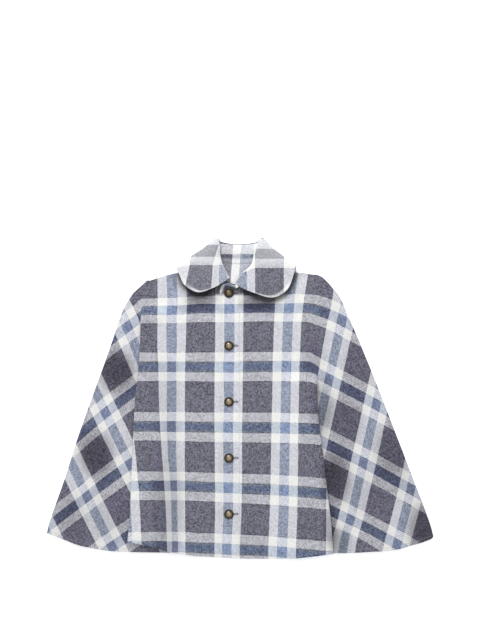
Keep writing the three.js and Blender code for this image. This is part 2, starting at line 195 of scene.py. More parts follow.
LEFT_FRONT = {
    "side": 1,
    "opening": [(-42, 549), (-42, 3)],
    "neck": [
        (-42, 549), (-39, 559), (-32, 565), (-23, 566), (-9, 562), (18, 570), (37, 582), (51, 601), (59, 619),
    ],
    "shoulder": [(59, 619), (88, 600), (118, 588), (151, 583)],
    "shoulder_end": [(151, 583), (172, 575), (196, 549)],
    "fold": [
        (151, 583), (160, 469), (158, 375), (157, 326), (162, 264), (169, 213), (178, 137), (185, 80),
        (190, 11),
    ],
    "edge": [
        (196, 549), (207, 533), (219, 504), (231, 478), (252, 428), (285, 346), (356, 162), (387, 80),
        (397, 46),
    ],
    "hem": [(-42, 3), (-2, 1), (49, 0), (98, 1), (155, 6), (190, 11)],
    "outer_hem": [
        (190, 11), (233, 12), (266, 14), (295, 16), (328, 20), (348, 26), (371, 32), (386, 37.5), (394, 41),
        (397, 46),
    ],
    "apex_y": 375,
    "pleat_slope": 0.15,
    "pleat_shade": 0.3,
    "hem_lift": (4, 60),
}
FRONT_SHARES = {"neck": 6, "shoulder": 7}
FRONT_FREE = {"below_top": 0.1, "from_side": 0.4}
FRONT_STEPS = {"rows": 170, "inner": 84, "mountain": 10, "flat": 12, "valley": 6, "outer": 66}
BACK = {
    "neck": [(-66, 619), (-56, 617), (-29, 614), (-2, 612), (24, 614), (51, 617), (59, 619)],
    "hem": [
        (-397, 52), (-357, 41), (-293, 25), (-230, 19), (-134, 16), (-2, 10), (123, 12), (295, 21), (371, 35),
        (386, 40), (394, 43), (397, 46),
    ],
    "shares": {"shoulder_end": 3, "shoulder": 5, "neck": 6},
    "free": {"below_top": 0.12, "from_side": 0.08},
    "rows": 120,
    "columns": 150,
}

# Shades, as shares of the light: of the turned sides, the darkest that any spot gets, the collar's on the
# fronts with the stretch between its two ends that it fills, the top buttonhole's lip, and the seam
# inside the neck, in chart steps
SIDE_SHADE = 0.07
DARKEST = -0.86
COLLAR_SHADE = {
    "deep": 0.8,
    "reach": 9.5,
    "lower": 2,
    "between": 1.05,
    "right_end": (-66, -46),
    "left_end": (30, 10),
    "above": (539.5, 545),
}
LIP = {"pale": -0.1, "fade": (7.0, 4.0)}
# Painted light inside the neck, between the rolls: how much, its middle and where it fades across and down
NECK_INSIDE = {"pale": 0.45, "middle": 239, "half_width": (50, 36), "below": (310, 290)}
NECK_SEAM = {"deep": 0.6, "from": (253.6, 254.6), "to": (259, 257.6)}

# Sections of the collar round the neck, near those of the solid: seam x, y, z, roll x, y, z, height of the
# fall, edge x, y, z and the way in which the fall leaves the stand, in degrees
COLLAR_SECTIONS = np.array([
    (-25, 569, 9.0, -22, 577, 11.8, 15.0, -36, 566, 13.8, 90),
    (-38, 573, 9.0, -28, 586, 13.0, 15.8, -56, 556, 11.8, 90),
    (-57, 590, 9.2, -37, 605, 14.0, 16.6, -86, 547, 11.0, 90),
    (-66, 606, 10.4, -42, 625, 14.8, 17.0, -113, 561, 11.0, 90),
    (-69, 616, 11.8, -42, 642, 15.0, 17.0, -124, 582, 11.6, 80),
    (-69, 624, 11.2, -44, 652, 13.4, 14.0, -130, 596, 11.0, 45),
    (-66, 628, 9.0, -46, 657, 9.8, 7.4, -132, 600, 6.2, 0),
    (-60, 622, 7.0, -44, 655, 6.6, 2.2, -130, 597, 1.4, -45),
    (-50, 611, 6.4, -40, 650, 5.2, 1.2, -119, 583, 1.2, -80),
    (-29, 608, 6.4, -23, 646, 5.0, 1.2, -60, 566, 1.2, -90),
    (-2, 606, 6.4, -1, 645, 5.0, 1.2, -2, 560, 1.2, -90),
    (24, 608, 6.4, 20, 646, 5.0, 1.2, 55, 564, 1.2, -90),
    (44, 611, 6.4, 36, 650, 5.2, 1.2, 110, 580, 1.2, -80),
    (54, 622, 7.0, 40, 655, 6.6, 2.2, 115, 596, 1.4, -45),
    (60, 628, 9.0, 42, 658, 9.8, 7.4, 113, 601, 6.2, 0),
    (63, 624, 11.2, 40, 652, 13.4, 14.0, 112, 596, 11.0, 45),
    (63, 616, 11.8, 35, 641, 15.0, 17.0, 109, 582, 11.6, 80),
    (55, 600, 10.4, 29, 621, 14.8, 17.0, 96, 552, 11.0, 90),
    (40, 581, 9.4, 22, 601, 14.2, 16.8, 65, 536, 11.6, 90),
    (18, 568, 11.2, 4, 586, 14.4, 17.2, 22, 548, 14.0, 90),
    (-9, 555, 12.0, -8, 568, 14.8, 18.0, 0, 557, 16.6, 90),
])

# The collar's roll, the wall where it lies pressed, and how far its edge lifts and its seam sinks
COLLAR = {
    "roll_run": 3,
    "roll_offset": 2.8,
    "folded_wall": 1.0,
    "edge_lift": 4.0,
    "seam_sink": 1.2,
    "around": 240,
    "across": 66,
}
# Painted highlights on the collar's front rolls and on the rims of its lower edges, and painted shade behind
# its roll at the back
COLLAR_PAINTED_LIGHT_AND_SHADE = {"roll": 0.5, "edge": 1.9, "back": 1.1}

# How the check lies on each part of the cape, in chart steps. On the fronts the cloth lies square, but
# for a little drift; on the sides it is turned, and it swings from one to the other about the pleat's
# top, between two angles counted from straight down through the front.
ACROSS_DRIFT = {
    "x": [122, 147, 160, 168, 173, 178, 186, 216, 225, 234, 243, 260, 273, 290, 299, 308, 320, 335],
    "y": [271, 299, 317, 345, 367, 397, 427, 456, 487, 517, 546],
    "drift": [
        (0, 0, 0, 0, 0, 0, 0, 0, 0, 0, 0, 0, -2.5, -3.4, -4, -4.5, 0, 6),
        (0, 0, -0.5, -1.2, -1.4, -1.6, -1.9, 0, -0.3, -0.3, -0.2, -1, -2, -2.3, -1.4, -2, 1.6, 8),
        (0, 0, -0.4, -0.1, -0.3, -0.5, -1.2, 0.2, 0.2, -0.1, 0, -0.4, -0.9, -0.9, -0.6, -0.4, 5, 11.4),
        (-0.3, -0.2, -0.2, -0.2, -0.5, -0.7, -0.5, 0, 0, -0.1, 0.2, 0.2, 0.1, 0.2, 0.8, 2.3, 9.6, 13),
        (-2, -1.7, -1.2, -0.8, -0.3, 0.2, 0.2, 0.8, 1.1, 0.3, 0.3, 0.5, 0.7, 1.1, 1.8, 3.2, 9.7, 11.7),
        (-4, -3.2, -1.5, -0.2, -0.2, -0.3, 0.3, 0.9, 0.1, 0.7, 0.7, 0.8, 1.1, 1.6, 2.5, 4, 5, 6),
        (-6.5, -5, -3, -0.4, -0.1, 0.1, 0.4, 0.9, 1.2, 1.3, 1.3, 1.5, 1.9, 2.3, 3.3, 4, 5, 6),
        (-9.5, -8.5, -6.3, -1.8, -0.7, 0.3, 0.5, 0.5, 1.2, 0.9, 1.2, 1.8, 2.4, 3.1, 3.3, 4, 5, 6),
        (-12, -11.7, -10, -6.3, -3.1, -0.4, 0.2, 0.4, 1, 1.3, 1.3, 2.2, 3, 3.5, 3.8, 4, 5, 6),
        (-13.5, -13.5, -12.6, -8.7, -4.4, -0.8, 0.2, 0.3, 1.3, 1.2, 2.2, 3.2, 3.9, 3.8, 4.4, 4.2, 5, 6),
        (-14.8, -14.6, -13.8, -9.8, -5.4, -2, 0, 1, 2.5, 3, 3.7, 4.6, 5.4, 5.2, 5.6, 5, 5.5, 6),
    ],
}
DOWN_DRIFT = {
    "x": [130, 148, 175, 200, 230, 262, 285, 300, 310, 318, 333],
    "y": [270, 297, 304, 314, 322, 352, 361, 372, 381, 412, 422, 432, 442, 472, 482, 493, 501, 533, 543],
    "drift": [
        (8, 8, 7.5, 7, 7, 7, 7, 7, 7, 6, 6),
        (7, 7, 5.9, 3.8, 3.3, 3.2, 3, 4.2, 5, 5, 6),
        (5, 4.8, 4.5, 2.2, 2.8, 1.8, 2.4, 3.3, 3.6, 5, 6.5),
        (3.8, 3.6, 2.9, 0.9, 1.3, 0, 1.2, 1.8, 2.4, 5, 7.3),
        (1.8, 1.6, 1.6, 0.3, 0.8, -0.4, 0, 0.7, 1.5, 5, 8),
        (0.3, 0.3, 0.7, 0.3, 0.2, -0.1, -0.3, -0.2, -0.1, 4, 6),
        (-0.1, -0.1, 0, 0.1, 0.2, -0.8, -0.5, -0.4, -0.1, 3.5, 5.2),
        (-0.2, -0.2, -0.4, 0, 0.3, -0.3, -0.4, -0.1, 0, 3, 4.4),
        (-0.8, -0.8, -0.9, -0.4, -0.2, -0.8, -0.5, -0.6, 0, 2.6, 3.6),
        (-0.3, -0.3, -0.5, 0.3, 0.4, 0.3, 0.7, 1.1, 1.2, 1.5, 1.5),
        (-1.1, -1.1, -0.6, 0.1, 0.1, 0.4, 0.5, 1, 1.3, 1.8, 2),
        (-1.2, -1.2, -0.6, 0, 0.2, 0.9, 1, 1.4, 1.6, 2, 2.3),
        (-1.8, -1.9, -1.3, -0.2, 0, 0.8, 1, 1.2, 1.6, 2.4, 2.7),
        (-1.2, -1.3, -1, 0, 1, 2.3, 2.6, 3.4, 4, 5, 5.6),
        (-1.4, -1.5, -2, -0.2, 0.6, 1.9, 3.1, 3.8, 4.3, 5.3, 6),
        (-2, -2.1, -2.1, -0.6, 0.6, 2.2, 2.9, 3.9, 4.5, 5.7, 6.4),
        (-2.4, -2.5, -2.4, -1, 0.4, 2.2, 3.3, 4.4, 5, 6.2, 6.9),
        (-0.8, -0.9, -1.5, 0.6, 1.5, 3.3, 5, 6.1, 6.7, 7.6, 8.2),
        (-1.5, -1.5, -1.4, 0.6, 1.8, 3.4, 4.8, 6.1, 6.7, 7.8, 8.4),
    ],
}

# The cloth of the two sides: the pleat's top, the two angles, and the factors of 1, x, y and the three
# bows about its middle that turn and bend it
SIDE_CLOTH = {
    -1: {
        "apex": (142, 311),
        "turn": (150, 230),
        "middle": (100, 465),
        "u": (149.52, 0.9811, -0.4786, -0.0116, -0.001, -0.01),
        "v": (-62.97, 0.6629, 0.8714, -0.0989, -0.0505, -0.0011),
    },
    1: {
        "apex": (317, 376),
        "turn": (150, 212),
        "middle": (371, 467),
        "u": (-110.75, 1.101, 0.2469, -0.0069, 0.0108, 0.0009),
        "v": (178.22, -0.4992, 0.9297, -0.046, 0.0068, 0.0089),
    },
}

# Small pulls of the cloth on each side, in chart steps: x, y, reach across, reach up, pull across, pull down
PULLS = {
    -1: [(134, 308, 26, 40, -3.6, 2.2), (78, 465, 14, 40, -1, -1)],
    1: [
        (350, 540, 45, 16, 1, 2.8),
        (424, 520, 14, 30, -1, -1.5),
        (400, 475, 16, 40, -1, -1),
        (326, 305, 14, 14, -1, -1.5),
    ],
}

# The same for the collar: its two ends' falls and the inside of its stand, as pairs of place and chart,
# how far each leans or dips on the way down, and where the fall's light stripes are
COLLAR_CLOTH_MAP = {
    "right_u": ([160, 181, 190, 212.8, 219.2, 227, 240], [177.5, 178.5, 185.1, 215.3, 224.4, 234.1, 247]),
    "right_v": ([228, 237, 245, 257, 265.2, 290], [281, 292, 301.4, 312.2, 321.6, 347]),
    "left_u": ([226, 237, 246.7, 255, 283.6, 292, 310], [212, 224.4, 234.1, 243.2, 273.4, 280.5, 281.5]),
    "left_v": ([230, 239, 249, 259, 268.2, 300], [282, 292, 301.4, 312.2, 321.6, 354]),
    "inside_u": ([215, 233.3, 241.3, 254, 262, 270], [195, 215.3, 224.4, 234.1, 242, 250]),
    "inside_v": ([230, 244, 254, 290], [297, 312.2, 321.6, 357]),
    "inside_lean": (244, 0.075),
    "halves_meet": (228, 240),
    "right_lean": (265, (225, 186, 0.22), (184, 214, 0.3)),
    "left_dip": (253, 16, 0.5),
    "light_stripes": (219.9, 238.7, 278),
}


ENDS = np.array([0.0, 1.0])


def lerp(a, b, share):
    return a + (b - a) * share


def smooth(start, end, value):
    share = np.clip((value - start) / (end - start), 0, 1)
    return share * share * (3 - 2 * share)


def spline(points, place):
    """Points of smooth lines at a place counted in their knots, which run along the first axis."""
    knots = np.concatenate([[2 * points[0] - points[1]], points, [2 * points[-1] - points[-2]]])
    place = np.clip(place, 0, len(points) - 1)
    index = np.minimum(place.astype(int), len(points) - 2)
    t = (place - index).reshape((-1,) + (1,) * (points.ndim - 1))
    a, b, c, d = (knots[index + k] for k in range(4))
    return 0.5 * (2 * b + (c - a) * t + (2 * a - 5 * b + 4 * c - d) * t**2 + (3 * b - a - 3 * c + d) * t**3)


def centripetal(knots, place):
    """Points of the smooth lines through knots[:, k], at a place counted in knots, with even speed."""
    first = 2 * knots[:, :1] - knots[:, 1:2]
    last = 2 * knots[:, -1:] - knots[:, -2:-1]
    padded = np.concatenate([first, knots, last], axis=1)
    index = min(int(place), knots.shape[1] - 2)
    t = place - index
    a, b, c, d = (padded[:, index + k] for k in range(4))
    pairs = (a, b), (b, c), (c, d)
    before, here, after = (np.linalg.norm(q - p, axis=1)[:, None] ** 0.5 for p, q in pairs)
    start = ((b - a) / before - (c - a) / (before + here) + (c - b) / here) * here
    end = ((c - b) / here - (d - b) / (here + after) + (d - c) / after) * here
    return b + start * t + (3 * (c - b) - 2 * start - end) * t**2 + (2 * (b - c) + start + end) * t**3


def lengths(path):
    """Length of a path of points up to each of them."""
    return np.concatenate([[0], np.cumsum(np.linalg.norm(np.diff(path, axis=0), axis=1))])


class Line:
    """Smooth line through a few points, read by the share of its length."""

    def __init__(self, points):
        points = np.array(points, float)
        self.points = spline(points, np.linspace(0, len(points) - 1, 40 * len(points)))
        self.length = lengths(self.points)

    def __call__(self, share):
        at = np.clip(share, 0, 1) * self.length[-1]
        return np.stack([np.interp(at, self.length, axis) for axis in self.points.T], -1)


class LineOf:
    """Several lines one after the other, each over its own share."""

    def __init__(self, pieces):
        self.lines = [Line(points) for points, _ in pieces]
        self.starts = np.cumsum([0] + [share for _, share in pieces])

    def __call__(self, share):
        place = np.clip(share, 0, 1) * self.starts[-1]
        result = np.zeros((len(place), 2))
        for line, start, end in zip(self.lines, self.starts, self.starts[1:]):
            inside = (place >= start) & (place <= end)
            result[inside] = line((place[inside] - start) / (end - start))
        return result


def between_sides(top, bottom, near, far, across, down):
    """Points of a panel that lies between four curved sides, as rows of columns."""
    a, d = across[None, :, None], down[:, None, None]
    upper, lower = (lerp(*(side(ENDS)[:, None, None]), a) for side in (top, bottom))
    by_row = lerp(top(across)[None], bottom(across)[None], d)
    by_column = lerp(near(down)[:, None], far(down)[:, None], a)
    return by_row + by_column - lerp(upper, lower, d)


def distance_to(line, x, y):
    """Distance from points to a smooth line through a few points."""
    near = Line(line)(np.linspace(0, 1, 60))
    return np.hypot(x[..., None] - near[:, 0], y[..., None] - near[:, 1]).min(axis=-1)


def neck_lift(x, y):
    aside = np.abs(x - NECK_LIFT["centre_x"]) - NECK_LIFT["half_width"]
    over = smooth(NECK_LIFT["start_above"], NECK_LIFT["full_above"], y)
    return (COLLAR_CLOTH + SEAM_GAP) * smooth(NECK_LIFT["fade"], 0, aside) * over


def along_and_aside(fold, x, y):
    from_x, from_y, to_x, to_y = fold[:4]
    length = math.hypot(to_x - from_x, to_y - from_y)
    way = ((to_x - from_x) / length, (to_y - from_y) / length)
    along = (x - from_x) * way[0] + (y - from_y) * way[1]
    aside = (x - from_x) * way[1] - (y - from_y) * way[0]
    return along, aside, length


def ridge_height(ridge, x, y):
    along, aside, length = along_and_aside(ridge, x, y)
    return ridge[4] * smooth(0, length / 2, along) * np.exp(-((aside / ridge[5]) ** 2))


def crease_height(crease, x, y):
    """A soft ridge or, with a negative height, trough that swells and dies away along a bowed line."""
    along, aside, length = along_and_aside(crease, x, y)
    height, width, bow = crease[4:]
    share = np.clip(along / length, 0, 1)
    bowed = aside - bow * 4 * share * (1 - share)
    near = np.exp(-((bowed / (width * (0.75 + 0.5 * share))) ** 2))
    return height * near * smooth(-0.05, 0.35, along / length) * smooth(1.12, 0.72, along / length)


def front_height(x, y, free):
    """Height of a front's middle surface; free is 0 at a seam and 1 well inside the panel."""
    stand = PUFF + sum(ridge_height(ridge, x, y) for ridge in RIDGES)
    stand = stand + sum(crease_height(crease, x, y) for crease in CREASES)
    clear_of_neck = np.minimum(free, smooth(CLOSE_AT_NECK["to"], CLOSE_AT_NECK["from"], y))
    over_back = lerp(SEAM_GAP, LAY_GAP, free)
    return CLOTH * 1.5 + over_back + neck_lift(x, y) + stand * clear_of_neck


def placket_rise(panel, x):
    start, end = PLACKET["hidden_x"] + PLACKET["slope_length"], PLACKET["hidden_x"] + PLACKET["level"]
    return (CLOTH + LAY_GAP) * smooth(start, end, x) if panel["side"] > 0 else 0 * x


def pleat_at(panel, y):
    """Angle, radii, depth and height of the pleat where its fold line is at the heights y."""
    below = panel["apex_y"] - y
    angle = np.maximum(0.02, math.pi * smooth(-PLEAT["turn_above"], PLEAT["turn_below"], below))
    mountain = PLEAT["mountain_arc"] / angle
    valley = PLEAT["valley_arc"] / angle
    depth = PLEAT["flat"] + panel["pleat_slope"] * np.maximum(0, below)
    rise = (mountain + valley) * (1 - np.cos(angle)) + depth * np.sin(angle)
    start = -mountain * np.sin(np.minimum(angle, math.pi / 2))
    return angle, mountain, valley, depth, rise, start


def pleat_section(pleat):
    """Distance outward, height and share from fold to valley of the points round the pleat, by row."""
    angle, mountain, valley, depth, rise, start = (part[:, None] for part in pleat)
    steps = FRONT_STEPS
    turned = angle * np.arange(1, steps["mountain"] + 1) / steps["mountain"]
    out = start + mountain * np.sin(turned)
    up = rise - mountain * (1 - np.cos(turned))
    run = depth * np.arange(1, steps["flat"] + 1) / steps["flat"]
    flat_out = out[:, -1:] + run * np.cos(angle)
    flat_up = up[:, -1:] - run * np.sin(angle)
    rest = angle * (1 - np.arange(1, steps["valley"] + 1) / steps["valley"])
    valley_out = flat_out[:, -1:] + valley * (np.sin(angle) - np.sin(rest))
    valley_up = flat_up[:, -1:] - valley * (np.cos(rest) - np.cos(angle))
    counts = [steps["mountain"], steps["flat"], steps["valley"]]
    share = np.concatenate([np.zeros(counts[0]), np.arange(1, counts[1] + 1) / counts[1], np.ones(counts[2])])
    return np.hstack([out, flat_out, valley_out]), np.hstack([up, flat_up, valley_up]), share


def drift_at(table, x, y):
    """Value of a drift table between its rows and columns."""
    values = np.array(table["drift"], float)
    by_row = np.stack([np.interp(x, table["x"], row) for row in values])
    place = np.interp(y, table["y"], np.arange(len(table["y"])))
    index = np.minimum(place.astype(int), len(values) - 2)
    upper = np.take_along_axis(by_row, index[None], 0)[0]
    lower = np.take_along_axis(by_row, index[None] + 1, 0)[0]
    return lerp(upper, lower, place - index)


def chart(x, y):
    """Place on the chart of a point given in mm."""
    return x / STEP + CHART["u"], CHART["v"] - y / STEP


def front_cloth(side, x, y, zone):
    """Cloth coordinates, in chart steps, of a front's points. zone is 'inner' or 'outer' of the pleat."""
    px, py = chart(x, y)
    cloth = SIDE_CLOTH[side]
    away = (px - cloth["apex"][0]) * -side
    below = py - cloth["apex"][1]
    turn = np.degrees(np.arctan2(away, below)) % 360
    if zone == "outer":
        turn = np.where((turn < 180) & (below > 0), 360, turn)
    else:
        turn = np.where((turn > 180) & (below > 0), 0, turn)
    share = smooth(*cloth["turn"], turn)
    square_u = px + drift_at(ACROSS_DRIFT, px, py)
    square_v = py - drift_at(DOWN_DRIFT, px, py)
    pulled_x, pulled_y = px, py
    for from_x, from_y, across, up, pull_x, pull_y in PULLS[side]:
        reach = np.exp(-(((px - from_x) / across) ** 2) - ((py - from_y) / up) ** 2)
        pulled_x, pulled_y = pulled_x + reach * pull_x, pulled_y + reach * pull_y
    bow_x = (pulled_x - cloth["middle"][0]) / 10
    bow_y = np.maximum((pulled_y - cloth["middle"][1]) / 10, -12)
    terms = (1, pulled_x, pulled_y, bow_x**2, bow_x * bow_y, bow_y**2)
    turned_u, turned_v = (sum(factor * term for factor, term in zip(cloth[axis], terms)) for axis in "uv")
    return lerp(square_u, turned_u, share), lerp(square_v, turned_v, share)


def painted_shade_depth(x, y):
    """How much of the light the painted shade of the patches takes from points of the fronts."""
    depth = 0 * x
    for centre_x, centre_y, across, up, deep in PAINTED_SHADE_PATCHES:
        reach = ((x - centre_x) / across) ** 2 + ((y - centre_y) / up) ** 2
        depth = depth + deep * np.exp(-(reach**2))
    return depth


def under_collar(x, y):
    """How deep in the shade of the collar's free edge a point of the fronts lies, from 0 to 1."""
    between = smooth(*COLLAR_SHADE["left_end"], x) * smooth(*COLLAR_SHADE["right_end"], x)
    shade = COLLAR_SHADE["between"] * (between * smooth(*COLLAR_SHADE["above"], y))
    for end in (COLLAR_SECTIONS[:7], COLLAR_SECTIONS[-7:]):
        away = distance_to(end[:, 7:9], x, y + COLLAR_SHADE["lower"])
        shade = np.maximum(shade, np.exp(-((away / COLLAR_SHADE["reach"]) ** 2)))
    return shade


def front_surface(panel):
    """Middle surface of a front, its cloth coordinates and painted shade, from opening to side seam, by row.
    """
    side = panel["side"]
    fold = Line(panel["fold"])
    hem_y = fold(np.array([1.0]))[0, 1]
    lift, lift_length = panel["hem_lift"]

    def start_of_turn(down):
        points = fold(down)
        return points + np.stack([side * pleat_at(panel, points[:, 1])[5], 0 * down], -1)

    def valley(down):
        points = fold(down)
        drop = lift * smooth(lift_length, 0, points[:, 1] - hem_y)
        reach = pleat_section(pleat_at(panel, points[:, 1]))[0][:, -1]
        return points + np.stack([side * reach, -drop], -1)

    def pulled_to(line, end):
        last = line(np.array([1.0]))[0]
        return lambda share: line(share) + (end - last) * smooth(0.5, 1, share)[:, None]

    steps = FRONT_STEPS
    top_end, hem_end = start_of_turn(ENDS)
    upper = LineOf([(panel[part], share) for part, share in FRONT_SHARES.items()])
    down = np.linspace(0, 1, steps["rows"] + 1)
    across_inner = np.linspace(0, 1, steps["inner"] + 1)
    top, bottom = pulled_to(upper, top_end), pulled_to(Line(panel["hem"]), hem_end)
    inner = between_sides(top, bottom, Line(panel["opening"]), start_of_turn, across_inner, down)
    valley_top, valley_hem = valley(ENDS)
    across_outer = np.arange(1, steps["outer"] + 1) / steps["outer"]
    top, bottom = Line([valley_top] + panel["shoulder_end"][1:]), Line([valley_hem] + panel["outer_hem"])
    outer = between_sides(top, bottom, valley, Line(panel["edge"]), across_outer, down)

    edge = fold(down)
    pleat = pleat_at(panel, edge[:, 1])
    out, up, share = pleat_section(pleat)
    free = smooth(0, FRONT_FREE["below_top"], down)[:, None]

    x, y = inner[..., 0], inner[..., 1]
    inward = np.abs(edge[:, :1] - x)
    depth, rise = pleat[3][:, None], pleat[4][:, None]
    on_pleat = 1 - PLEAT["sag"] * np.clip(inward / depth, 0, 1)
    raised = rise * on_pleat * smooth(depth + PLEAT["settle"], depth, inward)
    inner_z = front_height(x, y, free) + placket_rise(panel, x) + raised
    inner_cloth = front_cloth(side, x, y, "inner")

    fold_x = edge[:, :1] + side * out
    fold_y = lerp(edge[:, 1:], valley(down)[:, 1:], share[None])
    fold_z = front_height(fold_x, fold_y, free) + up
    at_fold = (front_cloth(side, fold_x, fold_y, zone) for zone in ("inner", "outer"))
    fold_cloth = [lerp(a, b, share[None]) for a, b in zip(*at_fold)]

    outer_free = free * smooth(0, FRONT_FREE["from_side"], 1 - across_outer)[None]
    outer_z = front_height(outer[..., 0], outer[..., 1], outer_free)
    outer_cloth = front_cloth(side, outer[..., 0], outer[..., 1], "outer")

    places = (x, y, inner_z), (fold_x, fold_y, fold_z), (outer[..., 0], outer[..., 1], outer_z)
    points = np.concatenate([np.dstack(part) for part in places], axis=1)
    cloth = np.concatenate([np.dstack(part) for part in (inner_cloth, fold_cloth, outer_cloth)], axis=1)
    x, y = points[..., 0], points[..., 1]
    # Painted shade: the collar's shadow, the shade patches, and a little more on the turned side, most by the
    # pleat
    pale = np.maximum(-COLLAR_SHADE["deep"] * under_collar(x, y) - painted_shade_depth(x, y), DARKEST)
    below = panel["apex_y"] - outer[..., 1]
    in_pleat = smooth(*PLEAT["shaded_below"], below) * smooth(PLEAT["shaded_across"], 0, across_outer)[None]
    pale[:, -len(across_outer):] -= SIDE_SHADE + panel["pleat_shade"] * in_pleat
    # A lighter painted rim, in slight painted shade, along the left front's neck edge instead of the collar's
    # painted shadow
    if side > 0:
        away = distance_to(panel["opening"][:1] + panel["neck"][1:5], x, y)
        pale = lerp(pale, LIP["pale"], smooth(*LIP["fade"], away))
    return points, cloth, pale


def inside_cloth(px, py):
    """Cloth coordinates of the inside of the neck, seen between the two rolls."""
    tables = COLLAR_CLOTH_MAP
    level, lean = tables["inside_lean"]
    leaned = px + lean * (py - level)
    return np.interp(leaned, *tables["inside_u"]), np.interp(py, *tables["inside_v"])


def back_surface():
    """Middle surface of the back, its cloth coordinates and the painted light inside its neck, from right
    side seam to left.
    """
    shares = BACK["shares"]
    top = LineOf([
        (RIGHT_FRONT["shoulder_end"][::-1], shares["shoulder_end"]),
        (RIGHT_FRONT["shoulder"][::-1], shares["shoulder"]),
        (BACK["neck"], shares["neck"]),
        (LEFT_FRONT["shoulder"], shares["shoulder"]),
        (LEFT_FRONT["shoulder_end"], shares["shoulder_end"]),
    ])
    across = np.linspace(0, 1, BACK["columns"] + 1)
    down = np.linspace(0, 1, BACK["rows"] + 1)
    sides = (Line(panel["edge"]) for panel in (RIGHT_FRONT, LEFT_FRONT))
    flat = between_sides(top, Line(BACK["hem"]), *sides, across, down)
    x, y = flat[..., 0], flat[..., 1]
    from_side = np.minimum(across, 1 - across)
    free = smooth(0, BACK["free"]["below_top"], down)[:, None]
    free = free * smooth(0, BACK["free"]["from_side"], from_side)[None]
    creases = sum(crease_height(crease, x, y) for crease in BACK_CREASES) * free
    z = CLOTH / 2 + neck_lift(x, y) + creases
    px, py = chart(x, y)
    aside = np.abs(px - NECK_INSIDE["middle"])
    at_neck = smooth(*NECK_INSIDE["below"], py) * smooth(*NECK_INSIDE["half_width"], aside)
    cloth = [lerp(plain, inside, at_neck) for plain, inside in zip((px, py), inside_cloth(px, py))]
    return np.dstack([x, y, z]), np.dstack(cloth), NECK_INSIDE["pale"] * at_neck


def collar_shape():
    """Middle surface of the collar, its rows' places among the sections and its columns' shares of the way
    from the seam, at 0, over the roll, at 2, to the edge, at 6."""
    seam, roll, edge = (COLLAR_SECTIONS[:, k : k + 3] for k in (0, 3, 7))
    fall_z, bend = COLLAR_SECTIONS[:, 6], np.radians(COLLAR_SECTIONS[:, 10])
    level = np.array([1.0, 1.0, 0.0])
    to_seam, to_edge = (seam - roll) * level, (edge - roll) * level
    seam_length, edge_length = (np.linalg.norm(way, axis=1)[:, None] for way in (to_seam, to_edge))
    seam_way, edge_way = to_seam / seam_length, to_edge / edge_length
    middle = seam_way + edge_way
    middle /= np.linalg.norm(middle, axis=1)[:, None]
    aside = np.stack([-middle[:, 1], middle[:, 0], 0 * bend], -1)
    aside *= np.where((aside * to_edge).sum(1) < 0, -1, 1)[:, None]
    turn = (aside * np.cos(bend)[:, None] + np.outer(np.sin(bend), [0, 0, 1])) * COLLAR["roll_offset"]
    under = roll + seam_way * np.minimum(COLLAR["roll_run"], 0.4 * seam_length) - turn
    over = roll + edge_way * np.minimum(COLLAR["roll_run"], 0.2 * edge_length) + turn
    upper, lower = roll + to_edge * 0.32, roll + to_edge * 0.68
    upper[:, 2] = fall_z
    lower[:, 2] = lerp(fall_z, edge[:, 2], 0.4)
    controls = np.stack([seam, under, roll, over, upper, lower, edge], axis=1)
    place = np.linspace(0, len(controls) - 1, COLLAR["around"] + 1)
    knots = spline(controls, place)
    shares = np.linspace(0, 6, COLLAR["across"] + 1)
    points = np.stack([centripetal(knots, share) for share in shares], axis=1)
    points[..., 2] = np.maximum(points[..., 2], COLLAR_CLOTH / 2)
    return points, place, shares


def fall_cloth(px, py, side):
    """Cloth coordinates of the collar's fall; side is 0 on the wearer's right half and 1 on the left."""
    tables = COLLAR_CLOTH_MAP
    level, (*low, lean_low), (*high, lean_high) = tables["right_lean"]
    lean = np.where(py > level, smooth(*low, px) * lean_low, smooth(*high, px) * lean_high)
    right_u, right_v = px + (py - level) * lean, py
    start, width, dip = tables["left_dip"]
    left_u, left_v = px, py - np.clip(start - px, 0, width) * dip
    u = lerp(np.interp(right_u, *tables["right_u"]), np.interp(left_u, *tables["left_u"]), side)
    v = lerp(np.interp(right_v, *tables["right_v"]), np.interp(left_v, *tables["left_v"]), side)
    return u, v


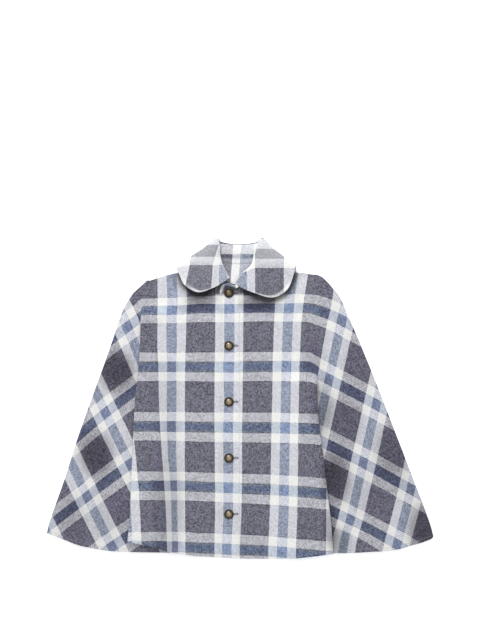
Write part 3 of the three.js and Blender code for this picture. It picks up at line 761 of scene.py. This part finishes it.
def collar_surface():
    """Middle surface of the collar, its cloth coordinates, its painted light and shade and how thin its wall
    is squeezed.
    """
    points, place, shares = collar_shape()
    px, py = chart(points[..., 0], points[..., 1])
    side = smooth(*COLLAR_CLOTH_MAP["halves_meet"], px)
    over_roll = smooth(1.6, 2.6, shares)[None]
    fall = fall_cloth(px, py, side)
    cloth = np.dstack([lerp(a, b, over_roll) for a, b in zip(inside_cloth(px, py), fall)])

    # Painted light on the fall, strongest near its top and faint on its light stripes; inside the stand, the
    # neck's painted light less a painted shade above the seam
    top_of_fall = lerp(0.5, 0.75, side) * smooth(269, 259, py)
    light_stripes = sum(np.exp(-(((fall[0] - at) / 5) ** 4)) for at in COLLAR_CLOTH_MAP["light_stripes"])
    fall_pale = (lerp(0.18, 0.04, side) + top_of_fall) * (1 - 0.9 * light_stripes)
    shaded = NECK_SEAM["deep"] * smooth(*NECK_SEAM["from"], py) * smooth(*NECK_SEAM["to"], py)
    pale = lerp(NECK_INSIDE["pale"] - shaded, fall_pale, over_roll)

    seam_z = np.interp(place, np.arange(len(COLLAR_SECTIONS)), COLLAR_SECTIONS[:, 2])[:, None]
    in_front, behind = smooth(7, 10, seam_z), smooth(9, 7, seam_z)
    # Painted highlights along the front rolls and on the lower rims of the collar's ends; painted shade
    # behind the roll at the back
    at_roll = np.exp(-(((shares - 2.35) / 0.35) ** 2))[None] * in_front
    at_bottom = np.exp(-(((px - 202) / 15) ** 4)) + np.exp(-(((px - 271) / 16) ** 4))
    at_edge = smooth(5.74, 5.88, shares)[None] * at_bottom * smooth(276, 284, py)
    at_back = np.exp(-(((shares - 1.6) / 0.45) ** 2))[None] * behind
    pale = pale + COLLAR_PAINTED_LIGHT_AND_SHADE["roll"] * at_roll + COLLAR_PAINTED_LIGHT_AND_SHADE["edge"] * at_edge - COLLAR_PAINTED_LIGHT_AND_SHADE["back"] * at_back

    free_edge = smooth(3, 6, shares)[None] * smooth(8, 11, points[..., 2])
    points[..., 2] += COLLAR["edge_lift"] * free_edge
    at_seam = smooth(0.9, 0, shares)[None] * behind
    points[..., 2] -= COLLAR["seam_sink"] * at_seam
    bend = np.cos(np.radians(COLLAR_SECTIONS[:, 10]))
    doubled = np.interp(place, np.arange(len(bend)), bend)[:, None]
    return points, cloth, pale, np.maximum(doubled, 0.9 * at_seam)


def in_frame(points):
    """Points of the tables, in mm, as points of the row frame, in metres."""
    return (points - [0.0, ORIGIN_Y, 0.0]) * MM


def normals_of(points):
    """Unit normals of a surface given as rows of points, upwards where the rows run down the page."""
    along = np.gradient(points, axis=1)
    down = np.gradient(points, axis=0)
    normals = np.cross(down, along)
    return normals / np.linalg.norm(normals, axis=2)[..., None]


def new_object(name, bm, smooth_faces=True):
    for face in bm.faces:
        face.smooth = smooth_faces
    mesh = bpy.data.meshes.new(name)
    bm.normal_update()
    bm.to_mesh(mesh)
    bm.free()
    piece = bpy.data.objects.new(name, mesh)
    bpy.context.scene.collection.objects.link(piece)
    return piece


def cloth_piece(name, points, cloth, pale):
    """A grid shaped to the surface. Its UV map holds the flat cloth's coordinates, in metres. The attribute
    pale carries painted light and shade: above 0 it is painted light, and below 0 painted shade."""
    rows, columns = points.shape[:2]
    places = in_frame(points)
    bm = bmesh.new()
    layer = bm.loops.layers.uv.new("Cloth")
    painted_light_layer = bm.verts.layers.float.new("pale")
    bmesh.ops.create_grid(bm, x_segments=columns - 1, y_segments=rows - 1, size=1)
    bm.verts.index_update()
    spots = {}
    for vert in bm.verts:
        column = round((vert.co.x + 1) / 2 * (columns - 1))
        row = round((1 - vert.co.y) / 2 * (rows - 1))
        spots[vert.index] = (row, column)
        vert.co = places[row, column]
        vert[painted_light_layer] = pale[row, column]
    for face in bm.faces:
        for loop in face.loops:
            u, v = cloth[spots[loop.vert.index]]
            loop[layer].uv = (u * STEP * MM, -v * STEP * MM)
    return new_object(name, bm)


def give_wall(piece, thickness, bevel):
    """Turns a surface into a wall of cloth about it, with soft edges."""
    solidify = piece.modifiers.new("cloth", "SOLIDIFY")
    solidify.thickness = thickness * MM
    solidify.offset = 0
    solidify.use_quality_normals = True
    edge = piece.modifiers.new("turned_edge", "BEVEL")
    edge.width = bevel * MM
    edge.segments = 2
    edge.profile = 0.5
    edge.limit_method = "ANGLE"
    edge.angle_limit = math.radians(60)
    return solidify


def apply_modifiers(piece):
    """Keeps the modified mesh as the piece's own."""
    graph = bpy.context.evaluated_depsgraph_get()
    mesh = bpy.data.meshes.new_from_object(piece.evaluated_get(graph))
    piece.modifiers.clear()
    piece.data = mesh


def top_height(panel, x, y):
    """Height of the upper face of a front near its opening."""
    top, bottom = (end[1] for end in panel["opening"])
    down = np.clip((top - y) / (top - bottom), 0, 1)
    return front_height(x, y, smooth(0, FRONT_FREE["below_top"], down)) + placket_rise(panel, x) + CLOTH / 2


def even_steps(path, pitch):
    """Middles and directions of stitches laid every pitch along a path."""
    length = lengths(path)
    at = np.arange(pitch / 2, length[-1], pitch)
    near = 0.3
    middles, ahead, behind = (
        np.stack([np.interp(at + shift, length, axis) for axis in path.T], -1) for shift in (0, near, -near)
    )
    return middles, ahead - behind


def add_stitch(bm, middle, way, length, radius):
    turn = Vector((0, 0, 1)).rotation_difference(Vector(way)).to_matrix().to_4x4()
    size = Matrix.Diagonal((radius * MM, radius * MM, length * MM / 2, 1))
    place = Matrix.Translation(Vector(in_frame(middle)))
    bmesh.ops.create_uvsphere(bm, u_segments=6, v_segments=4, radius=1, matrix=place @ turn @ size)


def stitched(name, paths, sizes):
    """A piece of thread: rows of short stitches half sunk in the cloth along paths on its face."""
    bm = bmesh.new()
    for path in paths:
        for middle, way in zip(*even_steps(path, sizes.stitch_pitch)):
            add_stitch(bm, middle, way, sizes.stitch_pitch * 0.78, sizes.thread_radius)
    return new_object(name, bm)


class Number:
    """A number that a material works out, which adds its Math nodes as it is used in a sum."""

    def __init__(self, finish, socket):
        self.finish = finish
        self.socket = socket

    def math(self, operation, *values):
        outputs = self.finish.node("ShaderNodeMath", {"operation": operation}, dict(enumerate(values)))
        return Number(self.finish, outputs[0])

    def __add__(self, other):
        return self.math("ADD", self, other)

    def __radd__(self, other):
        return self.math("ADD", other, self)

    def __sub__(self, other):
        return self.math("SUBTRACT", self, other)

    def __rsub__(self, other):
        return self.math("SUBTRACT", other, self)

    def __mul__(self, other):
        return self.math("MULTIPLY", self, other)

    def __truediv__(self, other):
        return self.math("DIVIDE", self, other)

    def fraction(self):
        return self.math("FRACT", self)

    def sine(self):
        return self.math("SINE", self)

    def step(self, at, soft):
        """0 below at and 1 above it, with a soft edge of that width."""
        limits = {"From Min": at - soft / 2, "From Max": at + soft / 2, "Value": self}
        outputs = self.finish.node("ShaderNodeMapRange", {"interpolation_type": "SMOOTHSTEP"}, limits)
        return Number(self.finish, outputs[0])

    def band(self, start, end, soft):
        """1 between start and end."""
        return self.step(start, soft) * (1 - self.step(end, soft))


class Finish:
    """A material and the nodes that make its finish."""

    def __init__(self, name):
        self.material = bpy.data.materials.new(name)
        self.material.use_nodes = True
        self.tree = self.material.node_tree
        self.shader = self.tree.nodes["Principled BSDF"]

    def node(self, kind, settings, inputs):
        """Adds a node: its settings first, then the values or links of its sockets. Gives its outputs."""
        node = self.tree.nodes.new(kind)
        for name, value in settings.items():
            setattr(node, name, value)
        self.fill(node, inputs)
        return node.outputs

    def fill(self, node, inputs):
        for name, value in inputs.items():
            socket = node.inputs[name]
            value = value.socket if isinstance(value, Number) else value
            if isinstance(value, bpy.types.NodeSocket):
                self.tree.links.new(value, socket)
            else:
                socket.default_value = value

    def mix(self, a, b, share):
        """Colour between a and b."""
        return self.node("ShaderNodeMix", {"data_type": "RGBA"}, {0: share, 6: a, 7: b})[2]

    def shade(self, colour, share):
        """Colour made lighter or darker by a share about 1."""
        grey = self.node("ShaderNodeCombineColor", {}, {0: share, 1: share, 2: share})[0]
        settings = {"data_type": "RGBA", "blend_type": "MULTIPLY"}
        return self.node("ShaderNodeMix", settings, {0: 1.0, 6: colour, 7: grey})[2]

    def attribute(self, name):
        """A value that the mesh carries."""
        return Number(self, self.node("ShaderNodeAttribute", {"attribute_name": name}, {})["Fac"])

    def noise(self, vector, scale, detail=2.0, roughness=0.5):
        inputs = {"Vector": vector, "Scale": scale, "Detail": detail, "Roughness": roughness}
        return Number(self, self.node("ShaderNodeTexNoise", {}, inputs)[0])

    def cells(self, vector, scale):
        """A random number for each of the irregular cells that fill the surface."""
        inputs = {"Vector": vector, "Scale": scale}
        colour = self.node("ShaderNodeTexVoronoi", {"feature": "F1"}, inputs)["Color"]
        return Number(self, self.node("ShaderNodeSeparateColor", {}, {0: colour})[0])

    def bump(self, height, distance, strength):
        inputs = {"Height": height, "Distance": distance, "Strength": strength}
        return self.node("ShaderNodeBump", {}, inputs)[0]


def linear(colour):
    """A colour given as 0 to 255 on the screen, as the light that it reflects."""
    share = np.array(colour, float) / 255
    value = np.where(share <= 0.04045, share / 12.92, ((share + 0.055) / 1.055) ** 2.4)
    return (*value, 1.0)


# The check in mm on the flat cloth: where one group of stripes starts, how often it comes, and the
# widths of its light, coloured and light stripes
WARP_GROUP = {"start": 322.3, "repeat": 119.1, "light": 18.7, "middle": 19.9}
WEFT_GROUP = {"start": 598.6, "repeat": 123.3, "light": 19.3, "middle": 22.1}

# Colour where each weft crosses each warp, as seen on the cloth: dark, light and blue warps in columns
CROSSINGS = {
    "dark": [(103, 102, 114), (199, 199, 205), (139, 147, 164)],
    "light": [(175, 174, 181), (227, 227, 223), (200, 202, 211)],
    "navy": [(106, 112, 122), (188, 194, 203), (130, 143, 168)],
    "navy_core": [(92, 102, 127), (186, 193, 203), (124, 139, 170)],
    # The navy weft's colours under painted shade
    "navy_in_painted_shade": [(80, 84, 108), (178, 182, 194), (110, 116, 140)],
}

# Colours of the painted light, also on light warps, and of the painted shade, and how fast the painted
# shade gets there; then how much of the heather's grain each kind of stripe does without
PAINTED_LIGHT_AND_SHADE = {"lifted": (214, 214, 218), "lifted_light": (238, 238, 235), "deep": (104, 99, 124), "deepens": 8}
SMOOTHER = {"light_warp": 0.72, "light_weft": 0.4, "blue_warp": 0.3, "light_crossing": 0.88}


def stripes(mm, group, soft):
    """Masks of a group's light stripes, coloured stripe and its core, and the lines at its two edges."""
    lead = 20
    phase = ((mm - (group["start"] - lead)) / group["repeat"]).fraction() * group["repeat"]
    first = lead + group["light"]
    second = first + group["middle"]
    last = second + group["light"]
    light = phase.band(lead, first, soft) + phase.band(second, last, soft)
    line = phase.band(lead - 1.9, lead + 0.2, soft) + phase.band(last - 0.2, last + 1.9, soft)
    core = phase.band(first + 5, second - 5, 6)
    return light, phase.band(first, second, soft), core, line


def wool_check(name, look):
    """Brushed wool twill in a large check, laid out by the cloth's own coordinates."""
    finish = Finish(name)
    cloth = finish.node("ShaderNodeUVMap", {"uv_map": "Cloth"}, {})[0]
    in_mm = finish.node("ShaderNodeVectorMath", {"operation": "SCALE"}, {0: cloth, "Scale": 1000.0})[0]
    fuzz = finish.noise(in_mm, 0.55, 3.0, 0.6)
    across, up = (Number(finish, part) for part in finish.node("ShaderNodeSeparateXYZ", {}, {0: in_mm})[:2])
    u = across + (fuzz - 0.5) * 1.6
    v = 0 - up + (fuzz - 0.5) * 1.6
    warp_light, warp_blue, _, _ = stripes(u, WARP_GROUP, 1.4)
    weft_light, weft_navy, navy_core, weft_line = stripes(v, WEFT_GROUP, 1.4)

    rows = {}
    for weft, (dark, light, blue) in CROSSINGS.items():
        row = finish.mix(linear(dark), linear(light), warp_light)
        rows[weft] = finish.mix(row, linear(blue), warp_blue)
    # The attribute pale: painted light above 0, painted shade below it. Painted shade deepens the navy weft
    # and tints the dark squares violet; strong painted light shows the navy in the dark weft's colours
    painted_light = finish.attribute("pale")
    pale, painted_shade = painted_light.math("MAXIMUM", painted_light, 0.0), painted_light.math("MINIMUM", painted_light, 0.0)
    deep = painted_shade.math("MINIMUM", painted_shade * -PAINTED_LIGHT_AND_SHADE["deepens"], 1.0)
    coloured = finish.mix(finish.mix(rows["navy"], rows["navy_core"], navy_core), rows["navy_in_painted_shade"], deep)
    coloured = finish.mix(coloured, rows["dark"], pale.step(0.35, 0.3))
    colour = finish.mix(finish.mix(rows["dark"], rows["light"], weft_light), coloured, weft_navy)
    all_dark = (1 - warp_light) * (1 - warp_blue) * (1 - weft_light) * (1 - weft_navy)
    colour = finish.mix(colour, linear(PAINTED_LIGHT_AND_SHADE["deep"]), all_dark * deep * 0.3)

    wale = ((across - up) * (2 * math.pi / look.wale)).sine()
    uneven = (warp_light + warp_blue * 0.6) * (1 - weft_light) + weft_light * (1 - warp_light)
    fleck = finish.cells(in_mm, 1 / look.fleck)
    fibre = finish.noise(in_mm, 0.8, 3.0, 0.7)
    cloud = finish.noise(in_mm, 0.02, 2.0, 0.5)
    rough_light = weft_light * (1 - warp_light)
    smoother = warp_light * (1 - weft_light) * SMOOTHER["light_warp"] + rough_light * SMOOTHER["light_weft"]
    smoother = smoother + warp_blue * SMOOTHER["blue_warp"]
    smoother = smoother + warp_light * weft_light * SMOOTHER["light_crossing"]
    grain = 1.0 - smoother
    # Painted light: lighter, greyer cloth with less grain where pale is above 0
    lifted = pale * (1 - warp_light) * (0.48 + weft_light * 0.5 + warp_blue * 0.6)
    colour = finish.mix(colour, linear(PAINTED_LIGHT_AND_SHADE["lifted"]), lifted)
    colour = finish.mix(colour, linear(PAINTED_LIGHT_AND_SHADE["lifted_light"]), pale * warp_light * 1.8)
    grain = grain * (1 - pale.math("MINIMUM", pale, 0.6) * 1.1)
    shade = 1 + (fleck - 0.5) * grain * 1.2 + (fibre - 0.5) * grain * 1.5
    shade = shade + wale * (uneven * 0.06 + rough_light * 0.1) * (1 - pale) + (cloud - 0.5) * 0.12
    # Painted shade darkens everything where pale is below 0
    shade = (shade - weft_line * (1 - warp_light) * 0.18) * (1 + painted_shade)
    colour = finish.shade(colour, shade)

    relief = wale * 0.5 + fleck * 0.8 + fibre * 0.8
    normal = finish.bump(relief, 0.0004, 0.4)
    finish.fill(finish.shader, {"Base Color": colour, "Roughness": 0.93, "Normal": normal})
    finish.fill(finish.shader, {"Specular IOR Level": 0.2, "Sheen Weight": 0.18, "Sheen Roughness": 0.55})
    return finish.material


def thread(name, colour):
    """Sewing thread with a faint twist."""
    finish = Finish(name)
    place = finish.node("ShaderNodeTexCoord", {}, {})["Object"]
    ply = finish.noise(place, 2600.0, 1.0)
    finish.fill(finish.shader, {
        "Base Color": finish.shade(linear(colour), 0.85 + ply * 0.3),
        "Roughness": 0.7,
        "Normal": finish.bump(ply, 0.0001, 0.5),
    })
    return finish.material


def antique_brass(name, colours):
    """Aged brass: dark in the hollows and round the rim, rubbed bright on the crown."""
    finish = Finish(name)
    place = finish.node("ShaderNodeTexCoord", {}, {})["Object"]
    patina = finish.noise(place, 420.0, 4.0, 0.6)
    grain = finish.noise(place, 1800.0, 2.0, 0.6)
    rubbed = (finish.attribute("crown") * 0.9 + (patina - 0.5) * 0.8).step(0.42, 0.9)
    colour = finish.mix((*colours.patina, 1.0), (*colours.brass, 1.0), rubbed)
    finish.fill(finish.shader, {
        "Base Color": finish.shade(colour, 0.8 + grain * 0.4),
        "Metallic": 0.9,
        "Roughness": 0.5 - rubbed * 0.18 + (grain - 0.5) * 0.1,
        "Normal": finish.bump(patina * 0.6 + grain * 0.4, 0.00012, 0.6),
    })
    return finish.material


def pale_floor(name):
    finish = Finish(name)
    finish.fill(finish.shader, {
        "Base Color": (0.93, 0.93, 0.93, 1.0),
        "Roughness": 0.9,
        "Specular IOR Level": 0.1,
        "Emission Color": (1.0, 1.0, 1.0, 1.0),
        "Emission Strength": 0.35,
    })
    return finish.material


def material(name, make, *values):
    """The named material, made when it is first asked for."""
    return bpy.data.materials.get(name) or make(name, *values)


def size_in_mm(name, description, default, least, most):
    return FloatProperty(name=name, description=description + ", in mm", default=default, min=least, max=most)


def colour_of(name, description, default):
    return FloatVectorProperty(name=name, description=description, subtype="COLOR", size=3, default=default)


def light_of(name, description, default, unit="NONE"):
    return FloatProperty(name=name, description=description, default=default, min=0, unit=unit)


class ClothSizes(bpy.types.PropertyGroup):
    thickness: size_in_mm("Cloth", "Thickness of the panels' cloth", CLOTH, 1.0, 3.0)
    collar_thickness: size_in_mm("Collar", "Thickness of the collar's two layers", COLLAR_CLOTH, 1.0, 3.0)
    turned_edge: size_in_mm("Turned edge", "How far the edges of the cloth are rounded", 0.7, 0.1, 1.0)


class StitchSizes(bpy.types.PropertyGroup):
    stitch_pitch: size_in_mm("Pitch", "Distance from one stitch to the next", 3.4, 1.5, 6.0)
    thread_radius: size_in_mm("Thread", "Half of the thread's thickness", 0.34, 0.1, 1.0)
    hem_inset: size_in_mm("Hem inset", "Distance of the hem's stitching from the hem", 6.5, 2.0, 30.0)


class ClothLook(bpy.types.PropertyGroup):
    wale: size_in_mm("Wale", "Distance between the twill's diagonals, across the cloth", 5.6, 1.0, 12.0)
    fleck: size_in_mm("Fleck", "Size of the flecks in the heather yarn", 2.2, 0.5, 6.0)


class BrassLook(bpy.types.PropertyGroup):
    brass: colour_of("Rubbed brass", "Colour of the brass where it is rubbed", (0.31, 0.25, 0.165))
    patina: colour_of("Patina", "Colour of the brass where it is aged", (0.05, 0.038, 0.025))


class StudioLight(bpy.types.PropertyGroup):
    key: light_of("Key", "Power of the window-like light above the collar", 80.0, unit="POWER")
    fill: light_of("Fill", "Power of the wide light straight above", 24.0, unit="POWER")
    around: light_of("Around", "Strength of the light from all round", 0.66)


def add_cloth(name, node, surface):
    """A panel that stands for its solid, which it hides, attached to the root."""
    sizes = bpy.context.scene.cape_cloth
    piece = cloth_piece(name, *surface)
    give_wall(piece, sizes.thickness, sizes.turned_edge)
    piece.data.materials.append(material("brushed_wool", wool_check, bpy.context.scene.cape_look))
    declare(piece, node)
    return piece


def declare(piece, node):
    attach(piece, "root")
    if node:
        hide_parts(node)


class CapeMakeBack(bpy.types.Operator):
    """Lay the back panel on the floor"""

    bl_idname = "cape.make_back"
    bl_label = "Back"

    def execute(self, context):
        add_cloth("back_cloth", "back", back_surface())
        return {"FINISHED"}


class CapeMakeFrontRight(bpy.types.Operator):
    """Lay the wearer's right front, which lies under the placket, with its pleat"""

    bl_idname = "cape.make_front_right"
    bl_label = "Right front"

    def execute(self, context):
        flipped = [part[:, ::-1] for part in front_surface(RIGHT_FRONT)]
        add_cloth("front_right_cloth", "front_right", flipped)
        return {"FINISHED"}


def slot_ends():
    """Radius of a buttonhole's round ends and where their centres are across the body."""
    radius = BUTTONHOLE["width"] / 2
    return radius, BUTTON["x"] - BUTTONHOLE["inward"] + radius, BUTTON["x"] + BUTTONHOLE["outward"] - radius


def buttonhole_cutters():
    """One object with a round-ended slot for each buttonhole, from below the cloth to above it."""
    bm = bmesh.new()
    radius, near, far = slot_ends()
    for height in BUTTON["heights"]:
        level = float(top_height(LEFT_FRONT, BUTTON["x"], height))
        for x, inward in ((near, 1), (far, -1)):
            centre = Vector(in_frame(np.array([x, height, level])))
            place = Matrix.Translation(centre)
            made = bmesh.ops.create_circle(bm, cap_ends=False, segments=16, radius=radius * MM, matrix=place)
            half = [v for v in made["verts"] if (v.co.x - centre.x) * inward > radius * MM * 0.05]
            bmesh.ops.delete(bm, geom=half, context="VERTS")
    outlines = list(bm.verts)
    for height in BUTTON["heights"]:
        y = in_frame(np.array([0.0, height, 0.0]))[1]
        ring = [v for v in outlines if abs(v.co.y - y) < 0.01]
        face = bmesh.ops.contextual_create(bm, geom=ring)["faces"]
        lowered = bmesh.ops.extrude_face_region(bm, geom=face)["geom"]
        tops = [v for v in lowered if isinstance(v, bmesh.types.BMVert)]
        bmesh.ops.translate(bm, vec=(0, 0, BUTTONHOLE["above"] * MM), verts=tops)
        bmesh.ops.translate(bm, vec=(0, 0, -BUTTONHOLE["below"] * MM), verts=ring)
    bmesh.ops.recalc_face_normals(bm, faces=bm.faces)
    return new_object("buttonhole_cutters", bm, smooth_faces=False)


class CapeMakeFrontLeft(bpy.types.Operator):
    """Lay the wearer's left front on the right one, with its pleat and five buttonholes"""

    bl_idname = "cape.make_front_left"
    bl_label = "Left front"

    def execute(self, context):
        surface, rests_on = front_surface(LEFT_FRONT), ["back", "front_right"]
        piece = add_cloth("front_left_cloth", "front_left", surface)
        cutters = buttonhole_cutters()
        holes = piece.modifiers.new("buttonholes", "BOOLEAN")
        holes.object = cutters
        holes.operation = "DIFFERENCE"
        holes.solver = "EXACT"
        apply_modifiers(piece)
        bpy.data.objects.remove(cutters)
        return {"FINISHED"}


class CapeMakeCollar(bpy.types.Operator):
    """Roll the collar round the neck: its stand inside, its fall over the fronts and under the back"""

    bl_idname = "cape.make_collar"
    bl_label = "Collar"

    def execute(self, context):
        sizes = context.scene.cape_cloth
        points, cloth, pale, thin = (part[:, ::-1] for part in collar_surface())
        piece = cloth_piece("collar_cloth", points, cloth, pale)
        solidify = give_wall(piece, sizes.collar_thickness, sizes.turned_edge)
        walls = lerp(1.0, COLLAR["folded_wall"] / COLLAR_CLOTH, thin)[::-1].ravel()
        group = piece.vertex_groups.new(name="wall")
        for index, wall in enumerate(walls):
            group.add([index], float(wall), "REPLACE")
        solidify.vertex_group = "wall"
        piece.data.materials.append(material("brushed_wool", wool_check, context.scene.cape_look))
        declare(piece, "collar")
        return {"FINISHED"}


class CapeMakeButtons(bpy.types.Operator):
    """Turn the five domed brass buttons"""

    bl_idname = "cape.make_buttons"
    bl_label = "Buttons"

    def execute(self, context):
        for number, height in enumerate(BUTTON["heights"], 1):
            cloth_top = float(front_height(BUTTON["x"], height, 1)) + CLOTH * 1.5 + LAY_GAP
            # Painted shade: the top button's crown is dimmed, as it lies in the collar's shade
            bright = BUTTON["bright"].get(number, 1.0)
            piece = self.turn_button(f"brass_button_{number}", height, cloth_top + SEAM_GAP, bright)
            piece.data.materials.append(material("aged_brass", antique_brass, context.scene.cape_brass))
            declare(piece, f"button_{number}")
        return {"FINISHED"}

    def turn_button(self, name, height, bottom, bright):
        """Shank, flat back, rolled rim, groove and dome, turned as one profile and rubbed on the crown."""
        radius, dome, shank, rim = (BUTTON[size] for size in ("radius", "dome", "shank", "rim"))
        groove_in, groove_up = BUTTON["groove"]
        crown_in, crown_up = BUTTON["crown"]
        foot = -(CLOTH + LAY_GAP)
        profile = [(0, foot), (shank, foot), (shank, 0), (radius - BUTTON["back"], 0)]
        for angle in np.linspace(0.3, 2.7, 7):
            profile.append((radius - rim + rim * math.sin(angle), rim - rim * math.cos(angle)))
        profile.append((radius - groove_in, groove_up))
        for angle in np.linspace(0.04, math.pi / 2, 14):
            profile.append(((radius - crown_in) * math.cos(angle), crown_up + dome * math.sin(angle)))
        profile[-1] = (0, crown_up + dome)
        bm = bmesh.new()
        verts = [bm.verts.new((r * MM, 0, z * MM)) for r, z in profile]
        edges = [bm.edges.new(pair) for pair in zip(verts, verts[1:])]
        axis = {"cent": (0, 0, 0), "axis": (0, 0, 1), "angle": 2 * math.pi, "steps": 40, "use_merge": True}
        bmesh.ops.spin(bm, geom=verts + edges, **axis)
        bmesh.ops.remove_doubles(bm, verts=bm.verts, dist=1e-6)
        bmesh.ops.recalc_face_normals(bm, faces=bm.faces)
        crown = bm.verts.layers.float.new("crown")
        for vert in bm.verts:
            reach = math.hypot(vert.co.x, vert.co.y) / (radius * MM)
            above_groove = vert.co.z > (groove_up + 0.05) * MM
            vert[crown] = bright * float(smooth(1.0, 0.15, reach)) if above_groove else 0.0
        place = in_frame(np.array([BUTTON["x"], height, bottom]))
        bmesh.ops.translate(bm, vec=Vector(place), verts=bm.verts)
        return new_object(name, bm)


class CapeSewStitching(bpy.types.Operator):
    """Sew the topstitching of the placket and the hems, and work the buttonholes' edges"""

    bl_idname = "cape.sew_stitching"
    bl_label = "Stitching"

    def execute(self, context):
        sizes = context.scene.cape_stitches
        pale, dark = ((150, 150, 160), (70, 70, 82))
        rows = [self.placket_row(x, top) for x, top in PLACKET["stitching"]]
        self.finish(stitched("placket_stitching", rows, sizes), "pale_thread", pale)
        hems = [row for panel in (RIGHT_FRONT, LEFT_FRONT) for row in self.hem_rows(panel, sizes.hem_inset)]
        self.finish(stitched("hem_stitching", hems, sizes), "pale_thread", pale)
        self.finish(self.worked_edges(sizes), "dark_thread", dark)
        return {"FINISHED"}

    def finish(self, piece, name, colour):
        piece.data.materials.append(material(name, thread, colour))
        declare(piece, None)

    def placket_row(self, x, top):
        y = np.linspace(top, 5, 200)
        x = np.full_like(y, x)
        return np.stack([x, y, top_height(LEFT_FRONT, x, y) + THREAD_LIFT], -1)

    def hem_rows(self, panel, inset):
        """Paths of the stitching on either side of a front's pleat."""
        points = front_surface(panel)[0]
        face = points + normals_of(points) * panel["side"] * (CLOTH / 2 + THREAD_LIFT)
        rise = np.linalg.norm(points[-1] - points[-2], axis=1)[:, None]
        share = np.clip(inset / rise, 0, 1.9)
        row = np.where(share <= 1, lerp(face[-1], face[-2], share), lerp(face[-2], face[-3], share - 1))
        last_inner = FRONT_STEPS["inner"] + 1
        first_outer = last_inner + FRONT_STEPS["mountain"] + FRONT_STEPS["flat"] + FRONT_STEPS["valley"]
        return row[1:last_inner], row[first_outer:-1]

    def worked_edges(self, sizes):
        """Close stitches across the edge of each buttonhole."""
        bm = bmesh.new()
        radius, near, far = slot_ends()
        radius += EDGE_STITCH["outside"]
        for height in BUTTON["heights"]:
            for start, end, side in ((near, far, 1), (far, near, -1)):
                for x in np.arange(min(start, end), max(start, end), EDGE_STITCH["pitch"]):
                    self.edge_stitch(bm, x, height + side * radius, (0, 1, 0), sizes)
                for angle in np.linspace(-math.pi / 2, math.pi / 2, 6):
                    way = (side * math.cos(angle), math.sin(angle), 0)
                    self.edge_stitch(bm, end + way[0] * radius, height + way[1] * radius, way, sizes)
        return new_object("buttonhole_stitching", bm)

    def edge_stitch(self, bm, x, y, way, sizes):
        z = float(top_height(LEFT_FRONT, x, y))
        add_stitch(bm, np.array([x, y, z - THREAD_LIFT]), way, EDGE_STITCH["length"], sizes.thread_radius)


class CapeSetStage(bpy.types.Operator):
    """Lay the pale floor, hang the soft lights and set the camera straight above"""

    bl_idname = "cape.set_stage"
    bl_label = "Stage"

    def execute(self, context):
        bm = bmesh.new()
        bmesh.ops.create_grid(bm, x_segments=8, y_segments=8, size=4.0)
        bmesh.ops.translate(bm, vec=(0, 0, -0.0004), verts=bm.verts)
        floor = new_object("floor", bm, smooth_faces=False)
        floor.data.materials.append(pale_floor("pale_floor"))
        light = context.scene.cape_light
        self.hang("key", light.key, 1.2, Vector((-0.9, 2.9, 2.2)))
        self.hang("fill", light.fill, 3.0, Vector((0.3, 0.1, 3.2)))
        world = bpy.data.worlds.new("room")
        world.use_nodes = True
        background = world.node_tree.nodes["Background"]
        background.inputs["Color"].default_value = (0.97, 0.98, 1.0, 1.0)
        background.inputs["Strength"].default_value = light.around
        context.scene.world = world
        context.scene.view_settings.view_transform = "Standard"
        self.set_camera(context)
        return {"FINISHED"}

    def hang(self, name, power, size, place):
        lamp = bpy.data.lights.new(name, "AREA")
        lamp.energy = power
        lamp.size = size
        holder = bpy.data.objects.new(name, lamp)
        holder.location = place
        holder.rotation_mode = "QUATERNION"
        holder.rotation_quaternion = (Vector((0, 0.05, 0)) - place).to_track_quat("-Z", "Y")
        bpy.context.scene.collection.objects.link(holder)

    def set_camera(self, context):
        """Straight above, at the chart's scale, with the picture's middle in the middle."""
        wide, high, level = 480, 641, 0.010
        camera = bpy.data.cameras.new("camera")
        camera.lens = 85
        camera.sensor_width = 36
        holder = bpy.data.objects.new("camera", camera)
        distance = high * STEP * MM * camera.lens / camera.sensor_width
        x = (wide / 2 - CHART["u"]) * STEP
        y = (CHART["v"] - high / 2) * STEP
        holder.location = Vector(in_frame(np.array([x, y, 0.0]))) + Vector((0, 0, distance + level))
        context.scene.collection.objects.link(holder)
        context.scene.camera = holder


class CapePanel(bpy.types.Panel):
    bl_idname = "VIEW3D_PT_cape"
    bl_label = "Cape"
    bl_space_type = "VIEW_3D"
    bl_region_type = "UI"
    bl_category = "Cape"

    def draw(self, context):
        for group in ("cape_cloth", "cape_stitches", "cape_look", "cape_brass", "cape_light"):
            settings = getattr(context.scene, group)
            box = self.layout.box()
            for name in settings.bl_rna.properties.keys():
                if name not in ("rna_type", "name"):
                    box.prop(settings, name)
        for operator in OPERATORS:
            self.layout.operator(operator.bl_idname)


GROUPS = {
    "cape_cloth": ClothSizes,
    "cape_stitches": StitchSizes,
    "cape_look": ClothLook,
    "cape_brass": BrassLook,
    "cape_light": StudioLight,
}
OPERATORS = (
    CapeMakeBack,
    CapeMakeFrontRight,
    CapeMakeFrontLeft,
    CapeMakeCollar,
    CapeMakeButtons,
    CapeSewStitching,
    CapeSetStage,
)


def register():
    for name, group in GROUPS.items():
        bpy.utils.register_class(group)
        setattr(bpy.types.Scene, name, PointerProperty(type=group))
    for item in OPERATORS + (CapePanel,):
        bpy.utils.register_class(item)


def unregister():
    for item in (CapePanel,) + OPERATORS[::-1]:
        bpy.utils.unregister_class(item)
    for name, group in GROUPS.items():
        delattr(bpy.types.Scene, name)
        bpy.utils.unregister_class(group)


def main():
    register()
    bpy.ops.cape.make_back()
    bpy.ops.cape.make_front_right()
    bpy.ops.cape.make_front_left()
    bpy.ops.cape.make_collar()
    bpy.ops.cape.make_buttons()
    bpy.ops.cape.sew_stitching()
    bpy.ops.cape.set_stage()


if __name__ == "__main__":
    main()
